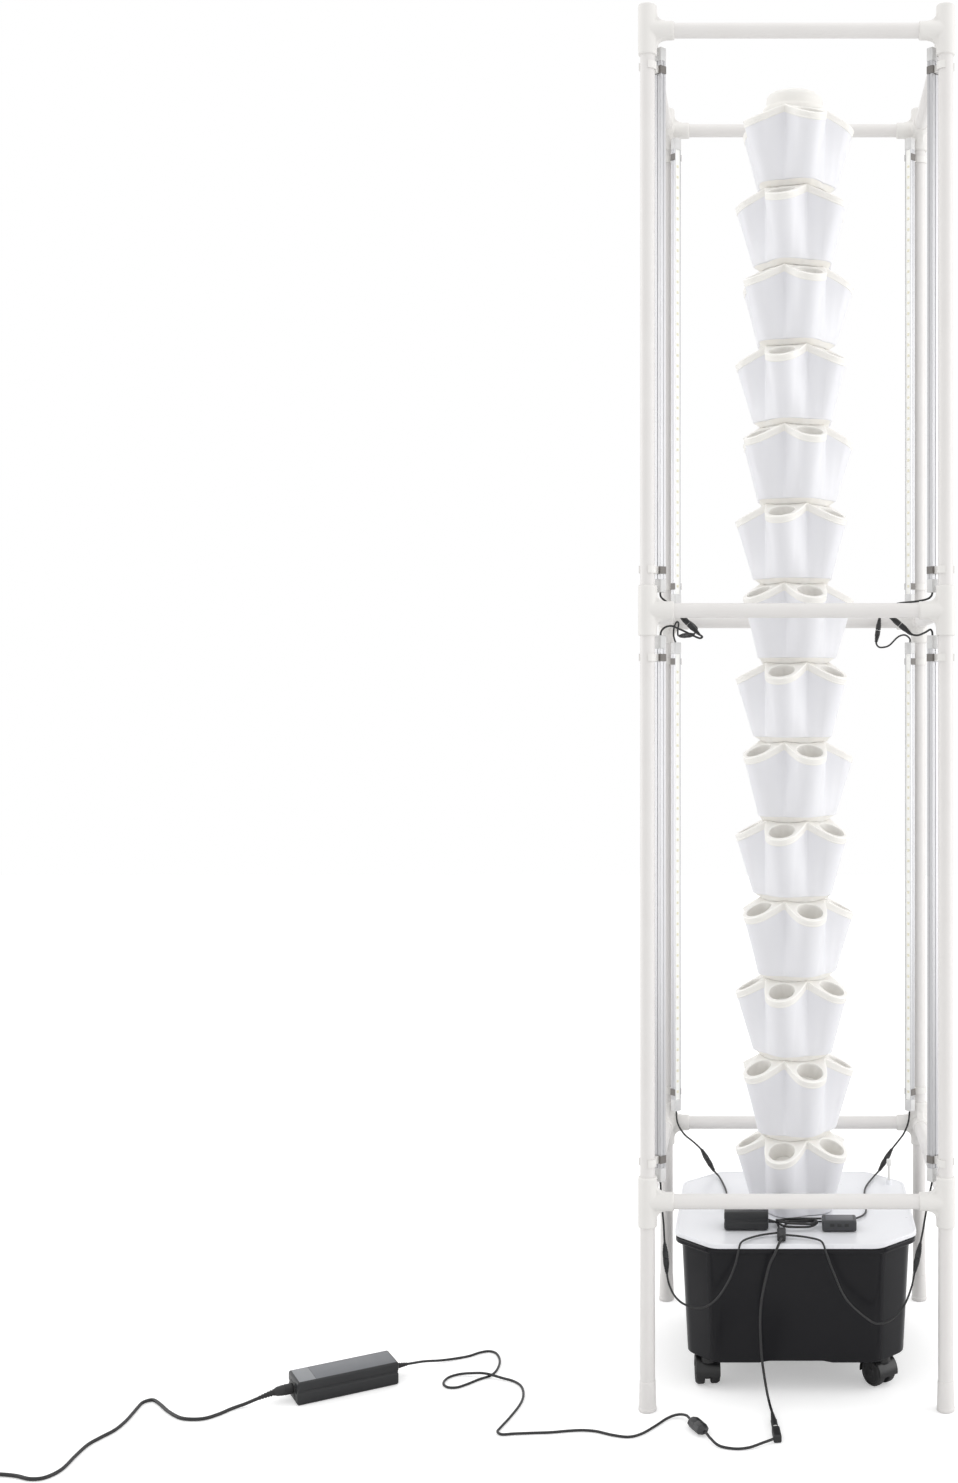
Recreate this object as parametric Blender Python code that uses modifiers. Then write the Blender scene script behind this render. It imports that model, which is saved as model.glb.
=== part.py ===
"""Vertical hydroponic tower: stacked planter modules on a water tank, in a pipe frame with lamp bars.

Metres, +Z up. The origin is on the floor at the middle of the frame, and -Y is the front.
"""
import math

import bmesh
import bpy
from mathutils import Matrix, Vector

# Fits shared by all pieces
GAP = 0.0003
OVERRUN = 0.002
FULL_TURN = 2.0 * math.pi

# Pipe frame
FRAME_SPACING = 0.400
PIPE_RADIUS = 0.010
LOWER_RAIL_HEIGHT = 0.280
MIDDLE_RAIL_HEIGHT = 1.073
UPPER_RAIL_HEIGHT = 1.851
BARREL_RADIUS = 0.0128
BARREL_HALF_HEIGHT = 0.034
BARREL_CHAMFER = 0.003
SOCKET_RADIUS = 0.0124
SOCKET_REACH = 0.036
SOCKET_DEPTH = 0.022
FOOT_RADIUS = 0.0122
FOOT_RIM = 0.004
FOOT_HEIGHT = 0.040
PIPE_SIDES = 8

# Lamp bars
BAR_INSET = 0.016
BAR_WIDTH = 0.0120
BAR_DEPTH = 0.0090
BAR_CAP_LENGTH = 0.018
BAR_CAP_WALL = 0.0006
LOWER_BAR_ABOVE_RAIL = 0.023
LOWER_BAR_BELOW_RAIL = 0.033
UPPER_BAR_ABOVE_RAIL = 0.025
UPPER_BAR_BELOW_RAIL = 0.018
LOWER_BAR_BOTTOM = LOWER_RAIL_HEIGHT + LOWER_BAR_ABOVE_RAIL
LOWER_BAR_TOP = MIDDLE_RAIL_HEIGHT - LOWER_BAR_BELOW_RAIL
UPPER_BAR_BOTTOM = MIDDLE_RAIL_HEIGHT + UPPER_BAR_ABOVE_RAIL
UPPER_BAR_TOP = UPPER_RAIL_HEIGHT - UPPER_BAR_BELOW_RAIL
CLIP_FROM_END = 0.030
CLIP_HEIGHT = 0.010
CLIP_ARM_WIDTH = 0.006

# Planter modules
MODULE_COUNT = 14
POT_COUNT = 5
MODULE_PITCH = 0.1143
FIRST_POT_AZIMUTH = math.radians(-107.0)
POT_LEAN = math.radians(17.1)
RIM_LEAN = math.radians(27.0)
RIM_CENTRE_RADIUS = 0.065
RIM_HEIGHT = 0.096
POT_RADIUS = 0.024
PLANTER_WALL = 0.0025
MOUTH_RADIUS = 0.0195
POT_FLOOR = 0.003
VALLEY_RADIUS = 0.052
NECK_RADIUS = 0.047
SPIGOT_RADIUS = 0.037
SPIGOT_HEIGHT = 0.006
DECK_THICKNESS = 0.003
DECK_HOLE_RADIUS = 0.016
VALLEY_OFFSET_SHARE = 1.25
LOBE_STEPS = 4
INNER_LOBE_STEPS = 3
MOUTH_SIDES = 8
DECK_HOLE_SIDES = 6

# Cap on the top module
CAP_RADIUS = 0.0415
CAP_HEIGHT = 0.022
CAP_WALL = 0.0025
CAP_SHOULDER = 0.012
CAP_TOP_RADIUS = 0.024
CAP_SIDES = 16
CAP_SHOULDER_STEPS = 3

# Water tank, lid and level float
TANK_BOTTOM = 0.043
TANK_FLANGE_BOTTOM = 0.1975
TANK_FLANGE_TOP = 0.2050
TANK_TOP_WIDTH = 0.318
TANK_TAPER = 0.008
TANK_BOTTOM_WIDTH = TANK_TOP_WIDTH - 2.0 * TANK_TAPER
TANK_CORNER = 0.044
TANK_FLANGE_REACH = 0.0085
TANK_WALL = 0.003
TANK_CORNER_ROUND = 0.010
LID_OVERHANG = 0.010
LID_WIDTH = TANK_TOP_WIDTH + 2.0 * LID_OVERHANG
LID_CORNER = TANK_CORNER + LID_OVERHANG
LID_TOP = 0.2117
LID_LIP_HEIGHT = 0.006
LID_LIP_WALL = 0.002
LID_HOLE_RADIUS = 0.026
SLEEVE_RADIUS = 0.0045
SLEEVE_HEIGHT = 0.006
FLOAT_FROM_WALLS = (0.0135, 0.0535)
FLOAT_PLACE = tuple(TANK_TOP_WIDTH / 2.0 - inset for inset in FLOAT_FROM_WALLS)
FLOAT_ARM_REACH = 0.0105
FLOAT_BUOY_PLACE = tuple(place - FLOAT_ARM_REACH for place in FLOAT_PLACE)
FLOAT_BUOY_RADIUS = 0.010
FLOAT_BUOY_HEIGHT = 0.030
FLOAT_ARM_WIDTH = 0.003
FLOAT_BUOY_BOTTOM = 0.105
FLOAT_ROD_RADIUS = 0.0020
FLOAT_KNOB_RADIUS = 0.0036
FLOAT_KNOB_HEIGHT = 0.010
FLOAT_TOP = 0.249
SMALL_SIDES = 8

# Pump and riser
PUMP_SIZE = (0.062, 0.046, 0.044)
PUMP_FOOT_HEIGHT = 0.004
PUMP_FOOT_INSET = 0.006
PUMP_CORNER = 0.005
PUMP_OUTLET_RADIUS = 0.0085
PUMP_OUTLET_HEIGHT = 0.020
RISER_RADIUS = 0.0125
RISER_WALL = 0.0025
RISER_TOP_CLEARANCE = 0.006
RISER_SIDES = 12

# Twin-wheel casters
CASTER_FROM_EDGE = 0.029
CASTER_OFFSET = TANK_BOTTOM_WIDTH / 2.0 - CASTER_FROM_EDGE
CASTER_TRAIL = 0.010
CASTER_TURNS_SHARES = {"front_left": 0.02, "front_right": 0.11, "back_left": 0.30, "back_right": -0.17}
WHEEL_RADIUS = 0.0190
WHEEL_WIDTH = 0.0125
AXLE_RADIUS = 0.0030
WEB_HALF_LENGTH = 0.0130
WEB_BELOW_AXLE = 0.0090
WEB_WIDTH = 0.0080
HOOD_GAP = 0.0005
HOOD_WALL = 0.0014
HOOD_DROP = 0.0030
COLLAR_RADIUS = 0.0085
STEM_RADIUS = 0.0050
STEM_HEIGHT = 0.016
BOSS_WALL = 0.003
WHEEL_SIDES = 12
HOOD_SIDES = 12

# Adapters and timer
FLOOR_ADAPTER_SIZE = (0.140, 0.051, 0.031)
FLOOR_ADAPTER_CENTRE = (-0.6250, -0.1320)
FLOOR_ADAPTER_TURN = math.radians(30.3)
FLOOR_ADAPTER_CORNER = 0.004
PUMP_ADAPTER_SIZE = (0.062, 0.038, 0.026)
PUMP_ADAPTER_CENTRE = (-0.069, -0.094)
TIMER_SIZE = (0.048, 0.030, 0.015)
TIMER_CENTRE = (0.061, -0.103)
LID_BOX_CORNER = 0.003

# Cords
MAINS_RADIUS = 0.0023
MAINS_CONNECTOR_RADIUS = 0.0085
MAINS_CONNECTOR_LENGTH = 0.024
MAINS_RELIEF_LENGTH = 0.022
MAINS_RELIEF_RADIUS = 0.0042
DC_RADIUS = 0.0017
DC_RELIEF_LENGTH = 0.018
DC_RELIEF_RADIUS = 0.0045
FERRITE_RADIUS = 0.0072
FERRITE_CHAMFER = 0.006
DC_PLUG_SIZE = (0.0105, 0.030, 0.0100)
DC_PLUG_CENTRE = (-0.0270, -0.2830)
DC_PLUG_TURN = math.radians(5.5)
LEAD_RADIUS = 0.0014
CONNECTOR_RADIUS = 0.0040
CONNECTOR_TAPER = 0.003
TRUNK_RADIUS = 0.0018
JACK_RADIUS = 0.0043
JACK_LENGTH = 0.024
JACK_TAPER = 0.026
HUB_SIZE = (0.0120, 0.0350, 0.0090)
HUB_CENTRE = (-0.0200, -0.1425)
HUB_CORNER = 0.002
LID_LEAD_RADIUS = 0.0016
COIL_RADIUS_IN_CORDS = 5.5
COIL_PITCH_IN_CORDS = 2.6
COIL_TURNS_IN = 1.5
COIL_TURNS_OUT = 1.25
COIL_CENTRE_X = -1.0420
COIL_POINTS = 24
BUNDLE_CENTRE = (0.0020, -0.1030)
BUNDLE_RUN = 0.0350
BUNDLE_END_RADIUS = 0.0105
BUNDLE_TURNS_IN = 0.75
BUNDLE_TURNS_OUT = 0.75
BUNDLE_LIFT = 0.0037
MAINS_PLUG_SIZE = (0.020, 0.032, 0.013)
MAINS_PLUG_CORNER = 0.003
PIN_SIZE = (0.0063, 0.0160, 0.0015)
PIN_SPACING = 0.0127

# Routes of the cords, chosen by hand on the floor, on the lid and in the air between
MAINS_ROUTE = [
    (-0.6863, -0.1678, 0.0155), (-0.7062, -0.1794, 0.0154), (-0.7260, -0.1890, 0.0110),
    (-0.7430, -0.1910, 0.0045), (-0.7570, -0.2000, 0.0025), (-0.7690, -0.2170, 0.0025),
    (-0.7830, -0.2300, 0.0025), (-0.8000, -0.2330, 0.0025), (-0.8180, -0.2280, 0.0025),
    (-0.8400, -0.2090, 0.0025), (-0.8600, -0.1860, 0.0025), (-0.8740, -0.1740, 0.0025),
    (-0.8840, -0.1820, 0.0025), (-0.8850, -0.2000, 0.0025), (-0.8850, -0.2360, 0.0025),
    (-0.8890, -0.2640, 0.0025), (-0.8990, -0.2860, 0.0025), (-0.9070, -0.3060, 0.0025),
    (-0.9100, -0.3350, 0.0025), (-0.9120, -0.3720, 0.0025), (-0.9230, -0.3930, 0.0025),
    (-0.9400, -0.3970, 0.0025), (-0.9610, -0.3890, 0.0025), (-0.9850, -0.3850, 0.0026),
    (-1.0080, -0.3850, 0.0026),
]
DC_ROUTE = [
    (-0.5638, -0.0962, 0.0155), (-0.5538, -0.0904, 0.0155), (-0.5430, -0.0800, 0.0135),
    (-0.5290, -0.0610, 0.0085), (-0.5090, -0.0455, 0.0035), (-0.4890, -0.0350, 0.0020),
    (-0.4710, -0.0260, 0.0020),
    (-0.4580, -0.0140, 0.0020), (-0.4450, -0.0090, 0.0020), (-0.4330, -0.0180, 0.0020),
    (-0.4240, -0.0440, 0.0020), (-0.4230, -0.0740, 0.0020), (-0.4290, -0.0940, 0.0020),
    (-0.4430, -0.1070, 0.0020), (-0.4570, -0.1230, 0.0020), (-0.4690, -0.1330, 0.0020),
    (-0.4820, -0.1320, 0.0020), (-0.4900, -0.1190, 0.0020), (-0.4870, -0.1010, 0.0020),
    (-0.4740, -0.0900, 0.0022), (-0.4550, -0.0920, 0.0046), (-0.4350, -0.0980, 0.0066),
    (-0.4110, -0.1050, 0.0034), (-0.3930, -0.1130, 0.0020), (-0.3800, -0.1300, 0.0020),
    (-0.3730, -0.1570, 0.0020), (-0.3730, -0.1860, 0.0020), (-0.3800, -0.2240, 0.0020),
    (-0.3880, -0.2560, 0.0020), (-0.3900, -0.2680, 0.0020), (-0.3830, -0.2760, 0.0020),
    (-0.3680, -0.2740, 0.0020), (-0.3450, -0.2720, 0.0020), (-0.3200, -0.2700, 0.0020),
    (-0.2990, -0.2660, 0.0020), (-0.2810, -0.2640, 0.0020), (-0.2620, -0.2670, 0.0020),
    (-0.2390, -0.2780, 0.0020), (-0.2180, -0.2830, 0.0020), (-0.2020, -0.2740, 0.0020),
    (-0.1860, -0.2520, 0.0020), (-0.1720, -0.2300, 0.0022), (-0.1590, -0.2240, 0.0045),
    (-0.1470, -0.2325, 0.0076), (-0.1394, -0.2465, 0.0078), (-0.1196, -0.2814, 0.0078),
    (-0.1120, -0.2960, 0.0060), (-0.1000, -0.3090, 0.0024), (-0.0800, -0.3160, 0.0020),
    (-0.0620, -0.3140, 0.0026), (-0.0450, -0.3060, 0.0048), (-0.0300, -0.2960, 0.0056),
]
FERRITE_ENDS = ((-0.1394, -0.2465, 0.0078), (-0.1196, -0.2814, 0.0078))
TRUNK_ROUTE = [
    (-0.0200, -0.1580, 0.2172), (-0.0208, -0.1650, 0.2172), (-0.0240, -0.1725, 0.2130),
    (-0.0290, -0.1765, 0.2020), (-0.0360, -0.1775, 0.1880), (-0.0420, -0.1770, 0.1650),
    (-0.0470, -0.1765, 0.1400), (-0.0490, -0.1765, 0.1140), (-0.0485, -0.1765, 0.0890),
    (-0.0470, -0.1770, 0.0630), (-0.0440, -0.1780, 0.0400), (-0.0405, -0.1810, 0.0200),
    (-0.0375, -0.1890, 0.0090), (-0.0350, -0.2040, 0.0058), (-0.0328, -0.2200, 0.0052),
    (-0.0286, -0.2676, 0.0052),
]
FRONT_LEFT_BRANCH = [
    (-0.1770, -0.1780, 0.1962), (-0.1762, -0.1780, 0.1865), (-0.1755, -0.1780, 0.1766),
    (-0.1725, -0.1780, 0.1610), (-0.1640, -0.1780, 0.1440), (-0.1500, -0.1780, 0.1330),
    (-0.1280, -0.1780, 0.1290),
    (-0.1090, -0.1780, 0.1400), (-0.0930, -0.1780, 0.1630), (-0.0830, -0.1780, 0.1870),
    (-0.0785, -0.1770, 0.2060), (-0.0755, -0.1715, 0.2145), (-0.0690, -0.1600, 0.2155),
    (-0.0580, -0.1460, 0.2145), (-0.0440, -0.1380, 0.2150), (-0.0230, -0.1350, 0.2168),
]
FRONT_RIGHT_BRANCH = [
    (0.1641, -0.1780, 0.1967), (0.1622, -0.1780, 0.1872), (0.1603, -0.1780, 0.1774),
    (0.1560, -0.1780, 0.1570), (0.1465, -0.1780, 0.1330), (0.1320, -0.1780, 0.1150),
    (0.1150, -0.1780, 0.1080),
    (0.0990, -0.1780, 0.1120), (0.0680, -0.1780, 0.1400), (0.0500, -0.1780, 0.1780),
    (0.0410, -0.1775, 0.2020), (0.0360, -0.1718, 0.2145), (0.0300, -0.1610, 0.2155),
    (0.0190, -0.1500, 0.2145), (0.0050, -0.1450, 0.2150), (-0.0170, -0.1440, 0.2168),
]
BACK_LEFT_BRANCH = [
    (-0.1328, 0.1559, 0.2326), (-0.1277, 0.1511, 0.2256), (-0.1226, 0.1464, 0.2187),
    (-0.1140, 0.1300, 0.2142),
    (-0.1060, 0.0900, 0.2138), (-0.1010, 0.0530, 0.2138), (-0.1000, 0.0100, 0.2138),
    (-0.0990, -0.0280, 0.2138), (-0.0860, -0.0540, 0.2138), (-0.0620, -0.0670, 0.2138),
    (-0.0400, -0.0700, 0.2136), (-0.0270, -0.0820, 0.2134), (-0.0238, -0.1000, 0.2134),
    (-0.0232, -0.1160, 0.2140), (-0.0230, -0.1290, 0.2168),
]
BACK_RIGHT_BRANCH = [
    (0.1438, 0.1584, 0.2326), (0.1386, 0.1542, 0.2255), (0.1332, 0.1500, 0.2182),
    (0.1240, 0.1330, 0.2142),
    (0.1100, 0.0870, 0.2138), (0.1050, 0.0500, 0.2138), (0.1040, 0.0000, 0.2138),
    (0.1000, -0.0450, 0.2138), (0.0800, -0.0700, 0.2138), (0.0520, -0.0785, 0.2138),
    (0.0200, -0.0790, 0.2136), (-0.0040, -0.0800, 0.2134), (-0.0145, -0.0920, 0.2134),
    (-0.0168, -0.1140, 0.2138), (-0.0170, -0.1290, 0.2168),
]
LOWER_BAR_TAILS = {
    "front_left": [
        (-0.1840, -0.1840, 0.3050), (-0.1825, -0.1820, 0.2750), (-0.1800, -0.1790, 0.2450),
        (-0.1785, -0.1780, 0.2164), (-0.1778, -0.1780, 0.2065), (-0.1770, -0.1780, 0.1968),
    ],
    "front_right": [
        (0.1840, -0.1840, 0.3050), (0.1790, -0.1810, 0.2780), (0.1742, -0.1782, 0.2500),
        (0.1714, -0.1780, 0.2330), (0.1681, -0.1780, 0.2166), (0.1661, -0.1780, 0.2068),
        (0.1643, -0.1780, 0.1973),
    ],
    "back_left": [
        (-0.1840, 0.1840, 0.3050), (-0.1815, 0.1820, 0.2840), (-0.1710, 0.1770, 0.2680),
        (-0.1560, 0.1715, 0.2570), (-0.1435, 0.1656, 0.2469), (-0.1382, 0.1608, 0.2398),
        (-0.1332, 0.1561, 0.2330),
    ],
    "back_right": [
        (0.1840, 0.1840, 0.3050), (0.1815, 0.1830, 0.2850), (0.1745, 0.1790, 0.2690),
        (0.1660, 0.1740, 0.2590), (0.1548, 0.1670, 0.2474), (0.1494, 0.1628, 0.2401),
        (0.1442, 0.1586, 0.2330),
    ],
}
UPPER_BAR_TAILS = {
    "front_left": [
        (-0.1840, -0.1840, 1.1000), (-0.1830, -0.1830, 1.0920), (-0.1740, -0.1790, 1.0840),
        (-0.1605, -0.1755, 1.0705), (-0.1534, -0.1750, 1.0634), (-0.1464, -0.1750, 1.0564),
    ],
    "front_right": [
        (0.1840, -0.1840, 1.1000), (0.1825, -0.1830, 1.0935), (0.1760, -0.1805, 1.0890),
        (0.1600, -0.1770, 1.0860), (0.1400, -0.1755, 1.0840), (0.1230, -0.1750, 1.0790),
        (0.1190, -0.1750, 1.0730), (0.1254, -0.1750, 1.0677), (0.1330, -0.1750, 1.0613),
        (0.1405, -0.1750, 1.0551),
    ],
    "back_left": [
        (-0.1840, 0.1840, 1.1000), (-0.1835, 0.1830, 1.0900), (-0.1790, 0.1760, 1.0820),
        (-0.1690, 0.1630, 1.0760), (-0.1570, 0.1480, 1.0690), (-0.1490, 0.1390, 1.0600),
        (-0.1540, 0.1455, 1.0520), (-0.1600, 0.1535, 1.0508), (-0.1658, 0.1613, 1.0505),
    ],
    "back_right": [
        (0.1840, 0.1840, 1.1000), (0.1830, 0.1830, 1.0940), (0.1740, 0.1790, 1.0900),
        (0.1600, 0.1765, 1.0910), (0.1460, 0.1752, 1.0925), (0.1380, 0.1750, 1.0880),
        (0.1361, 0.1750, 1.0790), (0.1347, 0.1750, 1.0690), (0.1334, 0.1750, 1.0592),
    ],
}
LOWER_BAR_HEADS = {
    "front_left": [
        (-0.1840, -0.1840, 1.0380), (-0.1825, -0.1825, 1.0460), (-0.1770, -0.1795, 1.0515),
        (-0.1690, -0.1770, 1.0530), (-0.1610, -0.1755, 1.0500), (-0.1500, -0.1750, 1.0450),
        (-0.1390, -0.1750, 1.0395), (-0.1310, -0.1750, 1.0365), (-0.1277, -0.1750, 1.0385),
        (-0.1321, -0.1750, 1.0421), (-0.1391, -0.1750, 1.0491), (-0.1460, -0.1750, 1.0560),
    ],
    "front_right": [
        (0.1840, -0.1840, 1.0380), (0.1835, -0.1828, 1.0450), (0.1810, -0.1805, 1.0480),
        (0.1750, -0.1775, 1.0445), (0.1650, -0.1755, 1.0405), (0.1560, -0.1750, 1.0420),
        (0.1485, -0.1750, 1.0483), (0.1409, -0.1750, 1.0547),
    ],
    "back_left": [
        (-0.1840, 0.1840, 1.0380), (-0.1868, 0.1830, 1.0460), (-0.1880, 0.1818, 1.0540),
        (-0.1868, 0.1808, 1.0640), (-0.1830, 0.1808, 1.0720), (-0.1800, 0.1835, 1.0700),
        (-0.1812, 0.1840, 1.0600), (-0.1810, 0.1818, 1.0520), (-0.1779, 0.1776, 1.0500),
        (-0.1720, 0.1696, 1.0502), (-0.1662, 0.1618, 1.0505),
    ],
    "back_right": [
        (0.1840, 0.1840, 1.0380), (0.1840, 0.1832, 1.0455), (0.1775, 0.1795, 1.0510),
        (0.1705, 0.1770, 1.0510), (0.1630, 0.1757, 1.0470), (0.1520, 0.1750, 1.0360),
        (0.1440, 0.1750, 1.0325), (0.1350, 0.1750, 1.0325), (0.1306, 0.1750, 1.0385),
        (0.1318, 0.1750, 1.0485), (0.1333, 0.1750, 1.0586),
    ],
}
LONGEST_STEP_IN_CORDS = 12.0
MOST_TURN_A_STEP = math.radians(30.0)

FRAME_CORNERS = {
    "front_left": (-1.0, -1.0), "front_right": (1.0, -1.0),
    "back_left": (-1.0, 1.0), "back_right": (1.0, 1.0),
}
LEVELS = {"lower": LOWER_RAIL_HEIGHT, "middle": MIDDLE_RAIL_HEIGHT, "upper": UPPER_RAIL_HEIGHT}


def clear_scene():
    for old in list(bpy.data.objects):
        bpy.data.objects.remove(old)


def make_collection(name):
    collection = bpy.data.collections.new(name)
    bpy.context.scene.collection.children.link(collection)
    return collection


def material(name, colour, roughness, metallic=0.0):
    look = bpy.data.materials.new(name)
    look.use_nodes = True
    shader = look.node_tree.nodes["Principled BSDF"]
    shader.inputs["Base Color"].default_value = (*colour, 1.0)
    shader.inputs["Roughness"].default_value = roughness
    shader.inputs["Metallic"].default_value = metallic
    return look


def evaluated_mesh(obj):
    """The mesh of an object with its modifiers or bevel, after which the object is removed."""
    depsgraph = bpy.context.evaluated_depsgraph_get()
    mesh = bpy.data.meshes.new_from_object(obj.evaluated_get(depsgraph))
    mesh.transform(obj.matrix_world)
    bpy.data.objects.remove(obj)
    return mesh


def tidy(mesh):
    """Welds loose caps and turns all faces outward."""
    bm = bmesh.new()
    bm.from_mesh(mesh)
    bmesh.ops.remove_doubles(bm, verts=bm.verts, dist=GAP / 30.0)
    bmesh.ops.recalc_face_normals(bm, faces=bm.faces)
    bm.to_mesh(mesh)
    bm.free()
    return mesh


def from_bmesh(bm, place=Matrix()):
    mesh = bpy.data.meshes.new("shape")
    bmesh.ops.transform(bm, matrix=place, verts=bm.verts)
    bm.to_mesh(mesh)
    bm.free()
    return tidy(mesh)


def box(size, place=Matrix(), corner=0.0):
    """A block of this size about its centre, with its edges cut back by corner."""
    bm = bmesh.new()
    bmesh.ops.create_cube(bm, size=1.0)
    bmesh.ops.scale(bm, vec=size, verts=bm.verts)
    if corner:
        bmesh.ops.bevel(bm, geom=bm.edges[:], offset=corner, segments=1, affect="EDGES")
    return from_bmesh(bm, place)


def rod(radius, start, end, sides, turn=0.0):
    """A straight cylinder from start to end."""
    start, end = Vector(start), Vector(end)
    axis = end - start
    bm = bmesh.new()
    bmesh.ops.create_cone(
        bm, cap_ends=True, segments=sides, radius1=radius, radius2=radius, depth=axis.length
    )
    aim = axis.to_track_quat("Z", "Y").to_matrix().to_4x4()
    spin = Matrix.Rotation(turn, 4, "Z")
    return from_bmesh(bm, Matrix.Translation((start + end) / 2.0) @ aim @ spin)


def turned(profile, sides, place=Matrix(), closed=False, turn=0.0):
    """A profile of (radius, height) points turned about Z with a Screw modifier."""
    mesh = bpy.data.meshes.new("profile")
    points = [(radius, 0.0, height) for radius, height in profile]
    edges = [(i, i + 1) for i in range(len(points) - 1)]
    if closed:
        edges.append((len(points) - 1, 0))
    mesh.from_pydata(points, edges, [])
    obj = bpy.data.objects.new("profile", mesh)
    bpy.context.scene.collection.objects.link(obj)
    screw = obj.modifiers.new("Screw", "SCREW")
    screw.angle = FULL_TURN
    screw.steps = sides
    screw.render_steps = sides
    screw.use_merge_vertices = True
    screw.merge_threshold = GAP / 30.0
    shape = evaluated_mesh(obj)
    shape.transform(place @ Matrix.Rotation(turn, 4, "Z"))
    return tidy(shape)


def around_flats(radius, sides):
    """Radius of a hole whose flats clear a round piece of this radius as it turns."""
    return (radius + GAP) / math.cos(math.pi / sides)


def lofted(rings):
    """A closed skin over rings of the same number of points, with flat ends."""
    bm = bmesh.new()
    loops = [[bm.verts.new(point) for point in ring] for ring in rings]
    count = len(loops[0])
    for low, high in zip(loops, loops[1:]):
        for i in range(count):
            j = (i + 1) % count
            bm.faces.new((low[i], low[j], high[j], high[i]))
    bm.faces.new(loops[0])
    bm.faces.new(loops[-1])
    return from_bmesh(bm)


def combined(base, steps):
    """Runs Boolean steps, each an operation and a mesh, on a base mesh."""
    body = bpy.data.objects.new("body", base)
    bpy.context.scene.collection.objects.link(body)
    tools = []
    for operation, shape in steps:
        tool = bpy.data.objects.new("tool", shape)
        tool.hide_render = True
        tool.display_type = "WIRE"
        cutters.objects.link(tool)
        tools.append(tool)
        step = body.modifiers.new(operation, "BOOLEAN")
        step.operation = operation
        step.solver = "EXACT"
        step.object = tool
    mesh = evaluated_mesh(body)
    for tool in tools:
        bpy.data.objects.remove(tool)
    return tidy(mesh)


def smooth_route(route, radius):
    """Points on a smooth curve through the route's own points, closer where it bends."""
    knots = [Vector(point) for point in route]
    knots = [knots[0] * 2.0 - knots[1]] + knots + [knots[-1] * 2.0 - knots[-2]]
    dense = []
    parts = 12
    for a, b, c, d in zip(knots, knots[1:], knots[2:], knots[3:]):
        for k in range(parts):
            t = k / parts
            dense.append(0.5 * (
                b * 2.0 + (c - a) * t + (a * 2.0 - b * 5.0 + c * 4.0 - d) * t * t
                + (b * 3.0 - a - c * 3.0 + d) * t * t * t
            ))
    dense.append(knots[-2])
    longest = radius * 2.0 * LONGEST_STEP_IN_CORDS
    points, run, turned_by = [dense[0]], 0.0, 0.0
    for before, here, after in zip(dense, dense[1:], dense[2:]):
        run += (here - before).length
        turned_by += (here - before).angle(after - here)
        if run >= longest or turned_by >= MOST_TURN_A_STEP:
            points.append(here)
            run = turned_by = 0.0
    if (dense[-1] - points[-1]).length < radius * 2.0 and len(points) > 2:
        points.pop()
    points.append(dense[-1])
    return points


def line_length(points):
    return sum((b - a).length for a, b in zip(points, points[1:]))


def swelling(points, radius, parts):
    """Radius at each point. Each part is (start, end, radius, taper), with runs measured along the line."""
    runs, run = [0.0], 0.0
    for a, b in zip(points, points[1:]):
        run += (b - a).length
        runs.append(run)
    radii = []
    for at in runs:
        size = radius
        for start, end, fat, taper in parts:
            if start <= at <= end:
                edge = min(at - start, end - at) if taper > 0.0 else taper
                share = min(1.0, edge / taper) if taper > 0.0 else 1.0
                size = max(size, radius + (fat - radius) * share)
        radii.append(size)
    return radii


def with_stops(points, runs_wanted):
    """Adds points at exact distances along a line, where a radius changes."""
    result, run = [points[0]], 0.0
    stops = sorted(runs_wanted)
    for a, b in zip(points, points[1:]):
        span = (b - a).length
        for stop in stops:
            if run + GAP < stop < run + span - GAP:
                result.append(a.lerp(b, (stop - run) / span))
        result.append(b)
        run += span
    return result


def cord_curve(name, points, radius, radii=None, resolution=2):
    """A curve object with filled caps on one open line."""
    data = bpy.data.curves.new(name, "CURVE")
    data.dimensions = "3D"
    data.bevel_depth = radius
    data.bevel_resolution = resolution
    data.use_fill_caps = True
    line = data.splines.new("POLY")
    line.points.add(len(points) - 1)
    for i, point in enumerate(points):
        line.points[i].co = (*point, 1.0)
        line.points[i].radius = radii[i] / radius if radii else 1.0
    obj = bpy.data.objects.new(name, data)
    return obj


def cord_mesh(points, radius, radii=None, resolution=2):
    obj = cord_curve("cord", points, radius, radii, resolution)
    bpy.context.scene.collection.objects.link(obj)
    return tidy(evaluated_mesh(obj))


def least_gap(points, radius, apart):
    """The least clear distance between stretches of one line that are some way apart along it."""
    least = math.inf
    for i, a in enumerate(points):
        for b in points[i + apart:]:
            least = min(least, (a - b).length - 2.0 * radius)
    return least


def piece(name, mesh, look, origin=None, smooth=True):
    """One named sub-part. Its own origin is at the given world point, on its joint's axis."""
    mesh.name = name
    mesh.materials.clear()
    mesh.materials.append(look)
    if smooth:
        mesh.shade_smooth()
        mesh.set_sharp_from_angle(angle=math.radians(38.0))
    obj = bpy.data.objects.new(name, mesh)
    if origin is not None:
        mesh.transform(Matrix.Translation(-Vector(origin)))
        obj.location = origin
    tower.objects.link(obj)
    return obj


def octagon(width, corner, height, rounding):
    """Points of a square with cut corners, each of its eight turns rounded by two points."""
    half = width / 2.0
    inner = half - corner
    turns = [
        (half, -inner), (half, inner), (inner, half), (-inner, half),
        (-half, inner), (-half, -inner), (-inner, -half), (inner, -half),
    ]
    points = []
    for i, turn in enumerate(turns):
        here = Vector(turn)
        before = Vector(turns[i - 1])
        after = Vector(turns[(i + 1) % len(turns)])
        for other in (before, after):
            points.append(here + (other - here).normalized() * rounding)
    return [(x, y, height) for x, y in points]


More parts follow.
